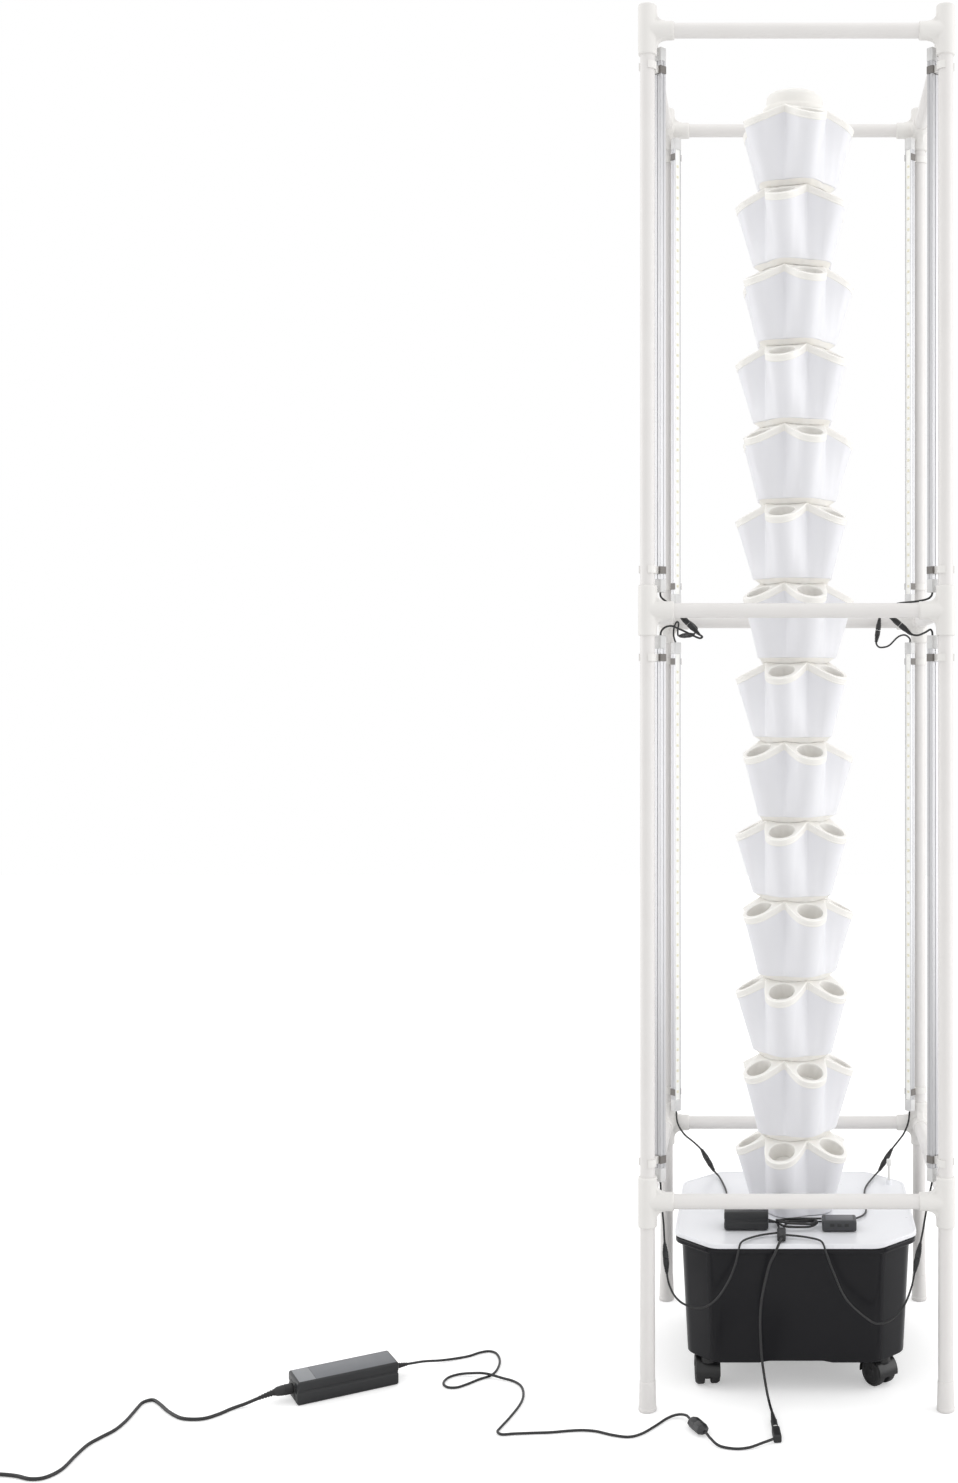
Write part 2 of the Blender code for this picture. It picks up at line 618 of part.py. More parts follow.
def frame_post(sides_x, sides_y):
    """One leg, foot to top, with its three corner fittings and their sockets."""
    outline = [(0.0, 0.0), (FOOT_RADIUS, 0.0), (FOOT_RADIUS, FOOT_RIM), (PIPE_RADIUS, FOOT_HEIGHT)]
    for level in (LOWER_RAIL_HEIGHT, MIDDLE_RAIL_HEIGHT):
        outline += [
            (PIPE_RADIUS, level - BARREL_HALF_HEIGHT), (BARREL_RADIUS, level - BARREL_HALF_HEIGHT),
            (BARREL_RADIUS, level + BARREL_HALF_HEIGHT), (PIPE_RADIUS, level + BARREL_HALF_HEIGHT),
        ]
    top = UPPER_RAIL_HEIGHT + BARREL_HALF_HEIGHT
    outline += [
        (PIPE_RADIUS, UPPER_RAIL_HEIGHT - BARREL_HALF_HEIGHT),
        (BARREL_RADIUS, UPPER_RAIL_HEIGHT - BARREL_HALF_HEIGHT),
        (BARREL_RADIUS, top - BARREL_CHAMFER), (BARREL_RADIUS - BARREL_CHAMFER, top), (0.0, top),
    ]
    steps = []
    cuts = []
    for level in LEVELS.values():
        centre = Vector((0.0, 0.0, level))
        for toward in (Vector((-sides_x, 0.0, 0.0)), Vector((0.0, -sides_y, 0.0))):
            mouth = centre + toward * SOCKET_REACH
            floor = centre + toward * (SOCKET_REACH - SOCKET_DEPTH)
            steps.append(("UNION", rod(SOCKET_RADIUS, centre, mouth, PIPE_SIDES)))
            cuts.append(("DIFFERENCE", rod(PIPE_RADIUS + GAP, floor, mouth + toward * OVERRUN, PIPE_SIDES)))
    corner = Vector((sides_x, sides_y, 0.0)) * (FRAME_SPACING / 2.0)
    mesh = combined(turned(outline, PIPE_SIDES), steps + cuts)
    mesh.transform(Matrix.Translation(corner))
    return mesh


def build_frame(look):
    for name, (x_side, y_side) in FRAME_CORNERS.items():
        piece(f"frame_post_{name}", frame_post(x_side, y_side), look)
    half = FRAME_SPACING / 2.0
    reach = half - (SOCKET_REACH - SOCKET_DEPTH) - GAP
    for level_name, level in LEVELS.items():
        ends = {
            "front": ((-reach, -half, level), (reach, -half, level)),
            "back": ((-reach, half, level), (reach, half, level)),
            "left": ((-half, -reach, level), (-half, reach, level)),
            "right": ((half, -reach, level), (half, reach, level)),
        }
        for side, (start, end) in ends.items():
            piece(f"frame_rail_{level_name}_{side}", rod(PIPE_RADIUS, start, end, PIPE_SIDES), look)


def bar_outline(width, depth, height):
    """A rectangle, its depth along X and its width along Y."""
    x, y = depth / 2.0, width / 2.0
    return [(x, -y, height), (x, y, height), (-x, y, height), (-x, -y, height)]


def lead_with_connector(route, half_length, at_end=True):
    """A thin lead whose last stretch is one half of an inline connector."""
    points = smooth_route(route, LEAD_RADIUS)
    total = line_length(points)
    if at_end:
        start, end = total - half_length, total + CONNECTOR_TAPER
    else:
        start, end = -CONNECTOR_TAPER, half_length
    stops = [start, start + CONNECTOR_TAPER] if at_end else [end - CONNECTOR_TAPER, end]
    points = with_stops(points, stops)
    radii = swelling(points, LEAD_RADIUS, [(start, end, CONNECTOR_RADIUS, CONNECTOR_TAPER)])
    return cord_mesh(points, LEAD_RADIUS, radii, resolution=1)


def lamp_bar(x_side, y_side, bottom, top, leads):
    """A bar with its end caps, the two clips that hold it to its leg, and its moulded leads."""
    rings = []
    cap_width, cap_depth = BAR_WIDTH + 2.0 * BAR_CAP_WALL, BAR_DEPTH + 2.0 * BAR_CAP_WALL
    for height, width, depth in (
        (bottom, cap_width, cap_depth), (bottom + BAR_CAP_LENGTH, cap_width, cap_depth),
        (bottom + BAR_CAP_LENGTH, BAR_WIDTH, BAR_DEPTH), (top - BAR_CAP_LENGTH, BAR_WIDTH, BAR_DEPTH),
        (top - BAR_CAP_LENGTH, cap_width, cap_depth), (top, cap_width, cap_depth),
    ):
        rings.append(bar_outline(width, depth, height))
    facing = math.atan2(-y_side, -x_side)
    centre = Vector((x_side, y_side, 0.0)) * (FRAME_SPACING / 2.0 - BAR_INSET)
    place = Matrix.Translation(centre) @ Matrix.Rotation(facing, 4, "Z")
    to_leg = math.sqrt(2.0) * BAR_INSET
    arm_end = to_leg - PIPE_RADIUS - GAP
    steps = []
    for height in (bottom + CLIP_FROM_END, top - CLIP_FROM_END):
        arm = (arm_end, CLIP_ARM_WIDTH, CLIP_HEIGHT)
        steps.append(("UNION", box(arm, Matrix.Translation((-arm_end / 2.0, 0.0, height)))))
    mesh = combined(lofted(rings), steps)
    mesh.transform(place)
    return combined(mesh, [("UNION", lead) for lead in leads])


def build_lamps(look):
    half_connector = CONNECTOR_RADIUS * 5.0
    for name, (x_side, y_side) in FRAME_CORNERS.items():
        tail = lead_with_connector(UPPER_BAR_TAILS[name], half_connector)
        bar = lamp_bar(x_side, y_side, UPPER_BAR_BOTTOM, UPPER_BAR_TOP, [tail])
        piece(f"lamp_bar_upper_{name}", bar, look)
        leads = [
            lead_with_connector(LOWER_BAR_HEADS[name], half_connector),
            lead_with_connector(LOWER_BAR_TAILS[name], half_connector),
        ]
        bar = lamp_bar(x_side, y_side, LOWER_BAR_BOTTOM, LOWER_BAR_TOP, leads)
        piece(f"lamp_bar_lower_{name}", bar, look)


def lobe(centre_radius, radius, stretch, inset, steps, height_of):
    """One lobe of an outline about +X: a valley corner, then an arc tangent to the walls beside it."""
    half_angle = math.pi / POT_COUNT
    valley = VALLEY_RADIUS - inset * VALLEY_OFFSET_SHARE
    valley_x, valley_y = valley * math.cos(half_angle), valley * math.sin(half_angle)
    away = math.hypot(valley_x - centre_radius, valley_y)
    bearing = math.atan2(valley_y, valley_x - centre_radius)
    reach = bearing - math.acos(radius / away)
    points = [(valley_x, -valley_y, height_of(valley_x))]
    for k in range(steps + 1):
        angle = reach * (2.0 * k / steps - 1.0)
        x = centre_radius + radius * stretch * math.cos(angle)
        points.append((x, radius * math.sin(angle), height_of(x)))
    return points


def around(points):
    """The same points repeated for every pot, turned about Z."""
    ring = []
    for k in range(POT_COUNT):
        turn = Matrix.Rotation(FULL_TURN * k / POT_COUNT, 3, "Z")
        ring += [turn @ Vector(point) for point in points]
    return ring


def planter_skin(inset, bottom, top, steps):
    """The five-lobed skin from a flat base through the leaning rim planes to the neck."""
    half_angle = math.pi / POT_COUNT
    radius = POT_RADIUS - inset
    lowered = inset / math.cos(RIM_LEAN)

    def rim_plane(x):
        return RIM_HEIGHT - lowered - (x - RIM_CENTRE_RADIUS) * math.tan(RIM_LEAN)

    base_centre = RIM_CENTRE_RADIUS - (RIM_HEIGHT - bottom) * math.tan(POT_LEAN)
    base_stretch = 1.0 / math.cos(POT_LEAN)
    base = around(lobe(base_centre, radius, base_stretch, inset, steps, lambda x: bottom))
    rim = around(lobe(RIM_CENTRE_RADIUS, radius, math.cos(RIM_LEAN), inset, steps, rim_plane))
    neck = NECK_RADIUS - inset / math.cos(half_angle)
    neck_x, neck_y = neck * math.cos(half_angle), neck * math.sin(half_angle)
    crown = around([(neck_x, -neck_y, rim_plane(neck_x))])
    head = around([(neck_x, -neck_y, top)])
    bm = bmesh.new()
    loops = [[bm.verts.new(point) for point in ring] for ring in (base, rim, crown, head)]
    low, high, inner, upper = loops
    count = len(low)
    for i in range(count):
        j = (i + 1) % count
        bm.faces.new((low[i], low[j], high[j], high[i]))
    per_lobe = count // POT_COUNT
    for k in range(POT_COUNT):
        after = (k + 1) % POT_COUNT
        outer = [high[(k * per_lobe + i) % count] for i in range(per_lobe + 1)]
        bm.faces.new(outer + [inner[after], inner[k]])
        bm.faces.new((inner[k], inner[after], upper[after], upper[k]))
    bm.faces.new(low)
    bm.faces.new(upper)
    return from_bmesh(bm)


def pot_mouth(index):
    """The round opening of one pot, cut through its rim plane along the pot's own lean."""
    lean = Vector((math.sin(POT_LEAN), 0.0, math.cos(POT_LEAN)))
    centre = Vector((RIM_CENTRE_RADIUS, 0.0, RIM_HEIGHT))
    reach = lean * (MOUTH_RADIUS * math.tan(RIM_LEAN) + PLANTER_WALL + OVERRUN)
    mesh = rod(MOUTH_RADIUS, centre - reach, centre + reach, MOUTH_SIDES, math.pi / MOUTH_SIDES)
    mesh.transform(Matrix.Rotation(FULL_TURN * index / POT_COUNT, 4, "Z"))
    return mesh


def planter_module():
    """One module: a hollow shell with five pot mouths, a socket below and a spigot on top."""
    top = MODULE_PITCH - GAP
    sides = 2 * POT_COUNT
    turn = math.pi / POT_COUNT
    outside = planter_skin(0.0, 0.0, top, LOBE_STEPS)
    inside = planter_skin(PLANTER_WALL, POT_FLOOR, top - DECK_THICKNESS, INNER_LOBE_STEPS)
    middle = (0.0, 0.0, top - DECK_THICKNESS / 2.0)
    spigot = rod(SPIGOT_RADIUS, middle, (0.0, 0.0, top + SPIGOT_HEIGHT), sides, turn)
    bore_ends = (0.0, 0.0, -OVERRUN), (0.0, 0.0, POT_FLOOR + OVERRUN)
    hole_ends = (0.0, 0.0, top - DECK_THICKNESS - OVERRUN), (0.0, 0.0, top + SPIGOT_HEIGHT + OVERRUN)
    steps = [("UNION", spigot), ("DIFFERENCE", inside)]
    steps.append(("DIFFERENCE", rod(SPIGOT_RADIUS + GAP, *bore_ends, sides, turn)))
    steps.append(("DIFFERENCE", rod(DECK_HOLE_RADIUS, *hole_ends, DECK_HOLE_SIDES)))
    steps += [("DIFFERENCE", pot_mouth(k)) for k in range(POT_COUNT)]
    return combined(outside, steps)


def build_planters(look):
    mesh = planter_module()
    for number in range(1, MODULE_COUNT + 1):
        obj = piece(f"planter_module_{number:02d}", mesh.copy(), look)
        obj.location = (0.0, 0.0, LID_TOP + GAP + (number - 1) * MODULE_PITCH)
        turned_half = (number - 1) % 2
        obj.rotation_euler = (0.0, 0.0, FIRST_POT_AZIMUTH + turned_half * math.pi / POT_COUNT)


def stack_top():
    return LID_TOP + GAP + MODULE_COUNT * MODULE_PITCH


def build_cap(look):
    """The domed cap that lifts off the top module's spigot."""
    bottom = stack_top()
    inner = SPIGOT_RADIUS / math.cos(math.pi / CAP_SIDES) + GAP
    shoulder_bottom = CAP_HEIGHT - CAP_SHOULDER
    outline = [
        (0.0, CAP_HEIGHT - CAP_WALL), (CAP_TOP_RADIUS, CAP_HEIGHT - CAP_WALL),
        (inner, shoulder_bottom), (inner, 0.0), (CAP_RADIUS, 0.0),
    ]
    for k in range(CAP_SHOULDER_STEPS + 1):
        angle = math.pi / 2.0 * k / CAP_SHOULDER_STEPS
        radius = CAP_TOP_RADIUS + (CAP_RADIUS - CAP_TOP_RADIUS) * math.cos(angle)
        outline.append((radius, shoulder_bottom + CAP_SHOULDER * math.sin(angle)))
    outline.append((0.0, CAP_HEIGHT))
    mesh = turned(outline, CAP_SIDES)
    mesh.transform(Matrix.Translation((0.0, 0.0, bottom)))
    piece("top_cap", mesh, look, origin=(0.0, 0.0, bottom))


def build_tank(look):
    """The tank: tapered walls with cut corners, a rolled flange and four caster bosses inside."""
    round_by = TANK_CORNER_ROUND
    flange_width = TANK_TOP_WIDTH + 2.0 * TANK_FLANGE_REACH
    flange_corner = TANK_CORNER + TANK_FLANGE_REACH
    inner_top, inner_bottom = TANK_TOP_WIDTH - 2.0 * TANK_WALL, TANK_BOTTOM_WIDTH - 2.0 * TANK_WALL
    mesh = lofted([
        octagon(TANK_BOTTOM_WIDTH, TANK_CORNER, TANK_BOTTOM, round_by),
        octagon(TANK_TOP_WIDTH, TANK_CORNER, TANK_FLANGE_BOTTOM, round_by),
        octagon(flange_width, flange_corner, TANK_FLANGE_BOTTOM, round_by),
        octagon(flange_width, flange_corner, TANK_FLANGE_TOP, round_by),
        octagon(inner_top, TANK_CORNER, TANK_FLANGE_TOP, round_by),
        octagon(inner_bottom, TANK_CORNER, TANK_BOTTOM + TANK_WALL, round_by),
    ])
    boss_top = TANK_BOTTOM + STEM_HEIGHT + BOSS_WALL
    steps = []
    for x_side, y_side in FRAME_CORNERS.values():
        x, y = x_side * CASTER_OFFSET, y_side * CASTER_OFFSET
        start = (x, y, TANK_BOTTOM + TANK_WALL / 2.0)
        steps.append(("UNION", rod(STEM_RADIUS + BOSS_WALL, start, (x, y, boss_top), SMALL_SIDES)))
    for x_side, y_side in FRAME_CORNERS.values():
        x, y = x_side * CASTER_OFFSET, y_side * CASTER_OFFSET
        start, end = (x, y, TANK_BOTTOM - OVERRUN), (x, y, TANK_BOTTOM + STEM_HEIGHT + GAP)
        steps.append(("DIFFERENCE", rod(around_flats(STEM_RADIUS, SMALL_SIDES), start, end, SMALL_SIDES)))
    piece("water_tank", combined(mesh, steps), look)


def build_lid(look):
    """The lid plate, with a locating lip, the spigot that carries the tower and the level sleeve."""
    plate_bottom = TANK_FLANGE_TOP + GAP
    lip_width = TANK_TOP_WIDTH - 2.0 * TANK_WALL - 2.0 * LID_LIP_WALL
    lip_bottom = plate_bottom - LID_LIP_HEIGHT
    plate = lofted([
        octagon(LID_WIDTH, LID_CORNER, plate_bottom, TANK_CORNER_ROUND),
        octagon(LID_WIDTH, LID_CORNER, LID_TOP, TANK_CORNER_ROUND),
    ])
    lip = lofted([
        octagon(lip_width, TANK_CORNER, lip_bottom, TANK_CORNER_ROUND),
        octagon(lip_width, TANK_CORNER, plate_bottom + OVERRUN, TANK_CORNER_ROUND),
    ])
    lip_inside = lip_width - 2.0 * LID_LIP_WALL
    lip_hollow = lofted([
        octagon(lip_inside, TANK_CORNER, lip_bottom - OVERRUN, TANK_CORNER_ROUND),
        octagon(lip_inside, TANK_CORNER, plate_bottom, TANK_CORNER_ROUND),
    ])
    first_turn = FIRST_POT_AZIMUTH + math.pi / POT_COUNT
    inside = (0.0, 0.0, (plate_bottom + LID_TOP) / 2.0)
    spigot = rod(SPIGOT_RADIUS, inside, (0.0, 0.0, LID_TOP + SPIGOT_HEIGHT), 2 * POT_COUNT, first_turn)
    below, above = (0.0, 0.0, lip_bottom - OVERRUN), (0.0, 0.0, LID_TOP + SPIGOT_HEIGHT + OVERRUN)
    hole = rod(LID_HOLE_RADIUS, below, above, 2 * POT_COUNT, first_turn)
    x, y = FLOAT_PLACE
    sleeve_top = LID_TOP + SLEEVE_HEIGHT
    sleeve = rod(SLEEVE_RADIUS, (x, y, inside[2]), (x, y, sleeve_top), SMALL_SIDES)
    bore_ends = (x, y, lip_bottom - OVERRUN), (x, y, sleeve_top + OVERRUN)
    sleeve_bore = rod(FLOAT_ROD_RADIUS + GAP, *bore_ends, SMALL_SIDES)
    steps = [
        ("UNION", lip), ("DIFFERENCE", lip_hollow), ("UNION", spigot), ("UNION", sleeve),
        ("DIFFERENCE", hole), ("DIFFERENCE", sleeve_bore),
    ]
    piece("tank_lid", combined(plate, steps), look)


def build_float(look):
    """The level float: a buoy on the arm of a rod that rises through its sleeve in the lid."""
    x, y = FLOAT_PLACE
    arm_bottom = FLOAT_BUOY_BOTTOM + FLOAT_BUOY_HEIGHT - FLOAT_ARM_WIDTH
    knob_bottom = FLOAT_TOP - FLOAT_KNOB_HEIGHT
    outline = [
        (0.0, arm_bottom), (FLOAT_ROD_RADIUS, arm_bottom), (FLOAT_ROD_RADIUS, knob_bottom),
        (FLOAT_KNOB_RADIUS, knob_bottom), (FLOAT_KNOB_RADIUS, FLOAT_TOP), (0.0, FLOAT_TOP),
    ]
    shaft = turned(outline, SMALL_SIDES, Matrix.Translation((x, y, 0.0)))
    buoy_x, buoy_y = FLOAT_BUOY_PLACE
    buoy_top = (buoy_x, buoy_y, FLOAT_BUOY_BOTTOM + FLOAT_BUOY_HEIGHT)
    buoy = rod(FLOAT_BUOY_RADIUS, (buoy_x, buoy_y, FLOAT_BUOY_BOTTOM), buoy_top, SMALL_SIDES)
    across = Vector((x - buoy_x, y - buoy_y, 0.0))
    arm_place = Matrix.Translation(((x + buoy_x) / 2.0, (y + buoy_y) / 2.0, arm_bottom))
    aim = Matrix.Rotation(math.atan2(across.y, across.x), 4, "Z")
    arm_size = (across.length + FLOAT_ARM_WIDTH, FLOAT_ARM_WIDTH, FLOAT_ARM_WIDTH)
    mesh = combined(shaft, [("UNION", buoy), ("UNION", box(arm_size, arm_place @ aim))])
    piece("level_float", mesh, look, origin=(x, y, FLOAT_TOP))


def build_pump(look, pipe_look):
    """The pump on the tank's floor, and the riser pipe that stands on its outlet up to the cap."""
    floor = TANK_BOTTOM + TANK_WALL + GAP
    length, width, height = PUMP_SIZE
    bottom = floor + PUMP_FOOT_HEIGHT
    body = box(PUMP_SIZE, Matrix.Translation((0.0, 0.0, bottom + height / 2.0)), PUMP_CORNER)
    top = bottom + height
    outlet_top = top + PUMP_OUTLET_HEIGHT
    inside = (0.0, 0.0, top - PUMP_CORNER)
    steps = [("UNION", rod(PUMP_OUTLET_RADIUS, inside, (0.0, 0.0, outlet_top), RISER_SIDES))]
    for x_side, y_side in FRAME_CORNERS.values():
        x = x_side * (length / 2.0 - PUMP_CORNER - PUMP_FOOT_INSET)
        y = y_side * (width / 2.0 - PUMP_CORNER - PUMP_FOOT_INSET)
        foot = (PUMP_FOOT_INSET, PUMP_FOOT_INSET, PUMP_FOOT_HEIGHT + PUMP_CORNER)
        steps.append(("UNION", box(foot, Matrix.Translation((x, y, floor + foot[2] / 2.0)))))
    piece("pump", combined(body, steps), look)
    inner = RISER_RADIUS - RISER_WALL
    low, high = top + GAP, stack_top() + SPIGOT_HEIGHT + RISER_TOP_CLEARANCE
    pipe = turned([(inner, low), (RISER_RADIUS, low), (RISER_RADIUS, high), (inner, high)],
                  RISER_SIDES, closed=True)
    piece("riser_pipe", pipe, pipe_look)


def caster_housing():
    """Web, hood, collar and stem about the swivel axis, with the axle along X behind it."""
    axle = Vector((0.0, CASTER_TRAIL, WHEEL_RADIUS))
    half_width = WEB_WIDTH / 2.0 + GAP + WHEEL_WIDTH
    hood_inner = around_flats(WHEEL_RADIUS + HOOD_GAP, HOOD_SIDES)
    hood_outer = hood_inner + HOOD_WALL
    side = Vector((half_width, 0.0, 0.0))
    past = Vector((half_width + OVERRUN, 0.0, 0.0))
    cut_height = 2.0 * hood_outer
    cut_size = (2.0 * past.x, 2.0 * cut_height, cut_height)
    cut_place = Matrix.Translation(axle + Vector((0.0, 0.0, -cut_height / 2.0 - HOOD_DROP)))
    collar_bottom = (0.0, 0.0, WHEEL_RADIUS + hood_inner - COLLAR_RADIUS)
    collar_top = (0.0, 0.0, TANK_BOTTOM - GAP)
    stem_top = (0.0, 0.0, TANK_BOTTOM + STEM_HEIGHT)
    web_height = WEB_BELOW_AXLE + hood_inner
    web_place = Matrix.Translation(axle + Vector((0.0, 0.0, web_height / 2.0 - WEB_BELOW_AXLE)))
    web = box((WEB_WIDTH, 2.0 * WEB_HALF_LENGTH, web_height), web_place)
    hole_ends = axle - past, axle + past
    return combined(rod(hood_outer, axle - side, axle + side, HOOD_SIDES), [
        ("UNION", rod(COLLAR_RADIUS, collar_bottom, collar_top, SMALL_SIDES)),
        ("UNION", rod(STEM_RADIUS, collar_bottom, stem_top, SMALL_SIDES)),
        ("DIFFERENCE", rod(hood_inner, axle - past, axle + past, HOOD_SIDES)),
        ("DIFFERENCE", box(cut_size, cut_place)),
        ("UNION", web),
        ("DIFFERENCE", rod(around_flats(AXLE_RADIUS, SMALL_SIDES), *hole_ends, SMALL_SIDES)),
    ])


def caster_wheels():
    """Two wheels on one axle, turned about X at the axle."""
    inner = WEB_WIDTH / 2.0 + GAP
    outer = inner + WHEEL_WIDTH
    half = [
        (0.0, outer), (WHEEL_RADIUS, outer), (WHEEL_RADIUS, inner), (AXLE_RADIUS, inner),
    ]
    outline = half + [(radius, -height) for radius, height in reversed(half)]
    place = Matrix.Translation((0.0, CASTER_TRAIL, WHEEL_RADIUS)) @ Matrix.Rotation(math.pi / 2.0, 4, "Y")
    return turned(outline, WHEEL_SIDES, place)


def build_casters(housing_look, wheel_look):
    housing, wheels = caster_housing(), caster_wheels()
    for name, (x_side, y_side) in FRAME_CORNERS.items():
        swivel = bpy.data.objects.new(f"swivel_axis_{name}", None)
        swivel.location = (x_side * CASTER_OFFSET, y_side * CASTER_OFFSET, 0.0)
        swivel.rotation_euler = (0.0, 0.0, FULL_TURN * CASTER_TURNS_SHARES[name])
        tower.objects.link(swivel)
        body = piece(f"caster_housing_{name}", housing.copy(), housing_look)
        body.parent = swivel
        pair = piece(f"caster_wheels_{name}", wheels.copy(), wheel_look,
                     origin=(0.0, CASTER_TRAIL, WHEEL_RADIUS))
        pair.parent = swivel


def standing_box(size, centre, bottom, corner, turn=0.0):
    place = Matrix.Translation((*centre, bottom + size[2] / 2.0)) @ Matrix.Rotation(turn, 4, "Z")
    return box(size, place, corner)


def build_boxes(brick_look, timer_look):
    """The floor adapter and the timer. The pump's adapter is made with its moulded lead."""
    piece("floor_adapter", standing_box(FLOOR_ADAPTER_SIZE, FLOOR_ADAPTER_CENTRE, 0.0,
                                        FLOOR_ADAPTER_CORNER, FLOOR_ADAPTER_TURN), brick_look)
    piece("pump_timer", standing_box(TIMER_SIZE, TIMER_CENTRE, LID_TOP + GAP, LID_BOX_CORNER), timer_look)


def flat_spiral(phase_point, cord_radius, pitch, turns_in, turns_out, floor):
    """Loops that spiral in on one layer, climb in half a turn and spiral out on the next."""
    climb = 0.5
    total = turns_in + climb + turns_out
    steps = round(total * COIL_POINTS)
    layer_low = floor + cord_radius + GAP
    layer_step = cord_radius * 2.0 + GAP * 2.0
    points = []
    for k in range(steps + 1):
        turn = total * k / steps
        if turn <= turns_in:
            inward, layer = turn, 0.0
        elif turn <= turns_in + climb:
            share = (turn - turns_in) / climb
            dip = climb / 2.0 * math.sin(math.pi * share)
            inward, layer = turns_in + dip, (1.0 - math.cos(math.pi * share)) / 2.0
        else:
            inward, layer = turns_in - (turn - turns_in - climb), 1.0
        x, y = phase_point(turn, pitch * (turns_in / 2.0 - inward))
        points.append(Vector((x, y, layer_low + layer * layer_step)))
    return points


def coil_point(turn, outward):
    """A point of the round coil, which winds clockwise from its near side."""
    middle_radius = COIL_RADIUS_IN_CORDS * 2.0 * MAINS_RADIUS
    centre_y = MAINS_ROUTE[-1][1] + middle_radius + COIL_PITCH_IN_CORDS * MAINS_RADIUS * COIL_TURNS_IN / 2.0
    radius = middle_radius + outward
    angle = -math.pi / 2.0 - FULL_TURN * turn
    return COIL_CENTRE_X + radius * math.cos(angle), centre_y + radius * math.sin(angle)


def bundle_point(turn, outward):
    """A point of the tied bundle, whose loops are long along X with round ends."""
    radius = BUNDLE_END_RADIUS + outward
    angle = math.pi / 2.0 - FULL_TURN * turn
    reach = math.cos(angle)
    stretch = BUNDLE_RUN / 2.0 * math.copysign(abs(reach) ** (1.0 / 3.0), reach)
    x = BUNDLE_CENTRE[0] + stretch + radius * math.cos(angle)
    return x, BUNDLE_CENTRE[1] + radius * math.sin(angle)


def build_mains(look, plug_look):
    """The mains cord from the floor adapter, the coil of its unseen length, and the plug."""
    points = smooth_route(MAINS_ROUTE, MAINS_RADIUS)
    relief_end = MAINS_CONNECTOR_LENGTH + MAINS_RELIEF_LENGTH
    points = with_stops(points, [MAINS_CONNECTOR_LENGTH, MAINS_CONNECTOR_LENGTH + GAP, relief_end])
    radii = []
    run = 0.0
    for i, point in enumerate(points):
        run += (point - points[i - 1]).length if i else 0.0
        if run <= MAINS_CONNECTOR_LENGTH + GAP / 2.0:
            radii.append(MAINS_CONNECTOR_RADIUS)
        elif run < relief_end:
            share = (relief_end - run) / MAINS_RELIEF_LENGTH
            radii.append(MAINS_RADIUS + (MAINS_RELIEF_RADIUS - MAINS_RADIUS) * share)
        else:
            radii.append(MAINS_RADIUS)
    cord = cord_curve("mains_cord", points, MAINS_RADIUS, radii)
    cord.data.materials.append(look)
    tower.objects.link(cord)

    pitch = COIL_PITCH_IN_CORDS * MAINS_RADIUS
    loops = flat_spiral(coil_point, MAINS_RADIUS, pitch, COIL_TURNS_IN, COIL_TURNS_OUT, 0.0)
    lead_in = loops[0].copy()
    lead_in.x = MAINS_ROUTE[-1][0] - GAP
    last = loops[-1]
    plug_middle = MAINS_PLUG_SIZE[2] / 2.0
    bend = Vector((last.x, last.y + MAINS_RADIUS * 6.0, plug_middle))
    loops = [lead_in] + loops + [bend, bend + Vector((0.0, MAINS_RADIUS * 4.0, 0.0))]
    coil = cord_curve("mains_coil", loops, MAINS_RADIUS, resolution=1)
    coil.data.materials.append(look)
    tower.objects.link(coil)
    print(f"mains coil: least gap {least_gap(loops, MAINS_RADIUS, 8) * 1000:.2f} mm, "
          f"length {line_length(loops):.3f} m, visible cord {line_length(points):.3f} m")

    length = MAINS_PLUG_SIZE[1]
    start = loops[-1]
    centre = Vector((start.x, start.y + GAP + length / 2.0, MAINS_PLUG_SIZE[2] / 2.0))
    body = box(MAINS_PLUG_SIZE, Matrix.Translation(centre), MAINS_PLUG_CORNER)
    pins = []
    for side in (-PIN_SPACING / 2.0, PIN_SPACING / 2.0):
        upright = Matrix.Rotation(math.pi / 2.0, 4, "Y")
        place = Matrix.Translation(centre + Vector((side, (length + PIN_SIZE[1]) / 2.0 - GAP, 0.0)))
        pins.append(("UNION", box(PIN_SIZE, place @ upright)))
    piece("mains_plug", combined(body, pins), plug_look)


def build_dc_cord(look):
    """The adapter's output cord with its ferrite, ending in a right-angle plug."""
    points = smooth_route(DC_ROUTE, DC_RADIUS)
    runs, run = [0.0], 0.0
    for a, b in zip(points, points[1:]):
        run += (b - a).length
        runs.append(run)
    ferrite_from, ferrite_to = Vector(FERRITE_ENDS[0]), Vector(FERRITE_ENDS[1])
    start = runs[min(range(len(points)), key=lambda i: (points[i] - ferrite_from).length)]
    length = (ferrite_to - ferrite_from).length
    stops = [start, start + FERRITE_CHAMFER, start + length - FERRITE_CHAMFER, start + length]
    points = with_stops(points, stops + [DC_RELIEF_LENGTH])
    parts = [(start, start + length, FERRITE_RADIUS, FERRITE_CHAMFER)]
    radii = swelling(points, DC_RADIUS, parts)
    run = 0.0
    for i, point in enumerate(points):
        run += (point - points[i - 1]).length if i else 0.0
        if run < DC_RELIEF_LENGTH:
            share = 1.0 - run / DC_RELIEF_LENGTH
            radii[i] = DC_RADIUS + (DC_RELIEF_RADIUS - DC_RADIUS) * share
    print(f"dc cord: {len(points)} points, length {line_length(points):.3f} m")
    place = Matrix.Translation((*DC_PLUG_CENTRE, DC_PLUG_SIZE[2] / 2.0 + GAP))
    plug = box(DC_PLUG_SIZE, place @ Matrix.Rotation(DC_PLUG_TURN, 4, "Z"), DC_RADIUS)
    piece("adapter_dc_cord", combined(cord_mesh(points, DC_RADIUS, radii), [("UNION", plug)]), look)


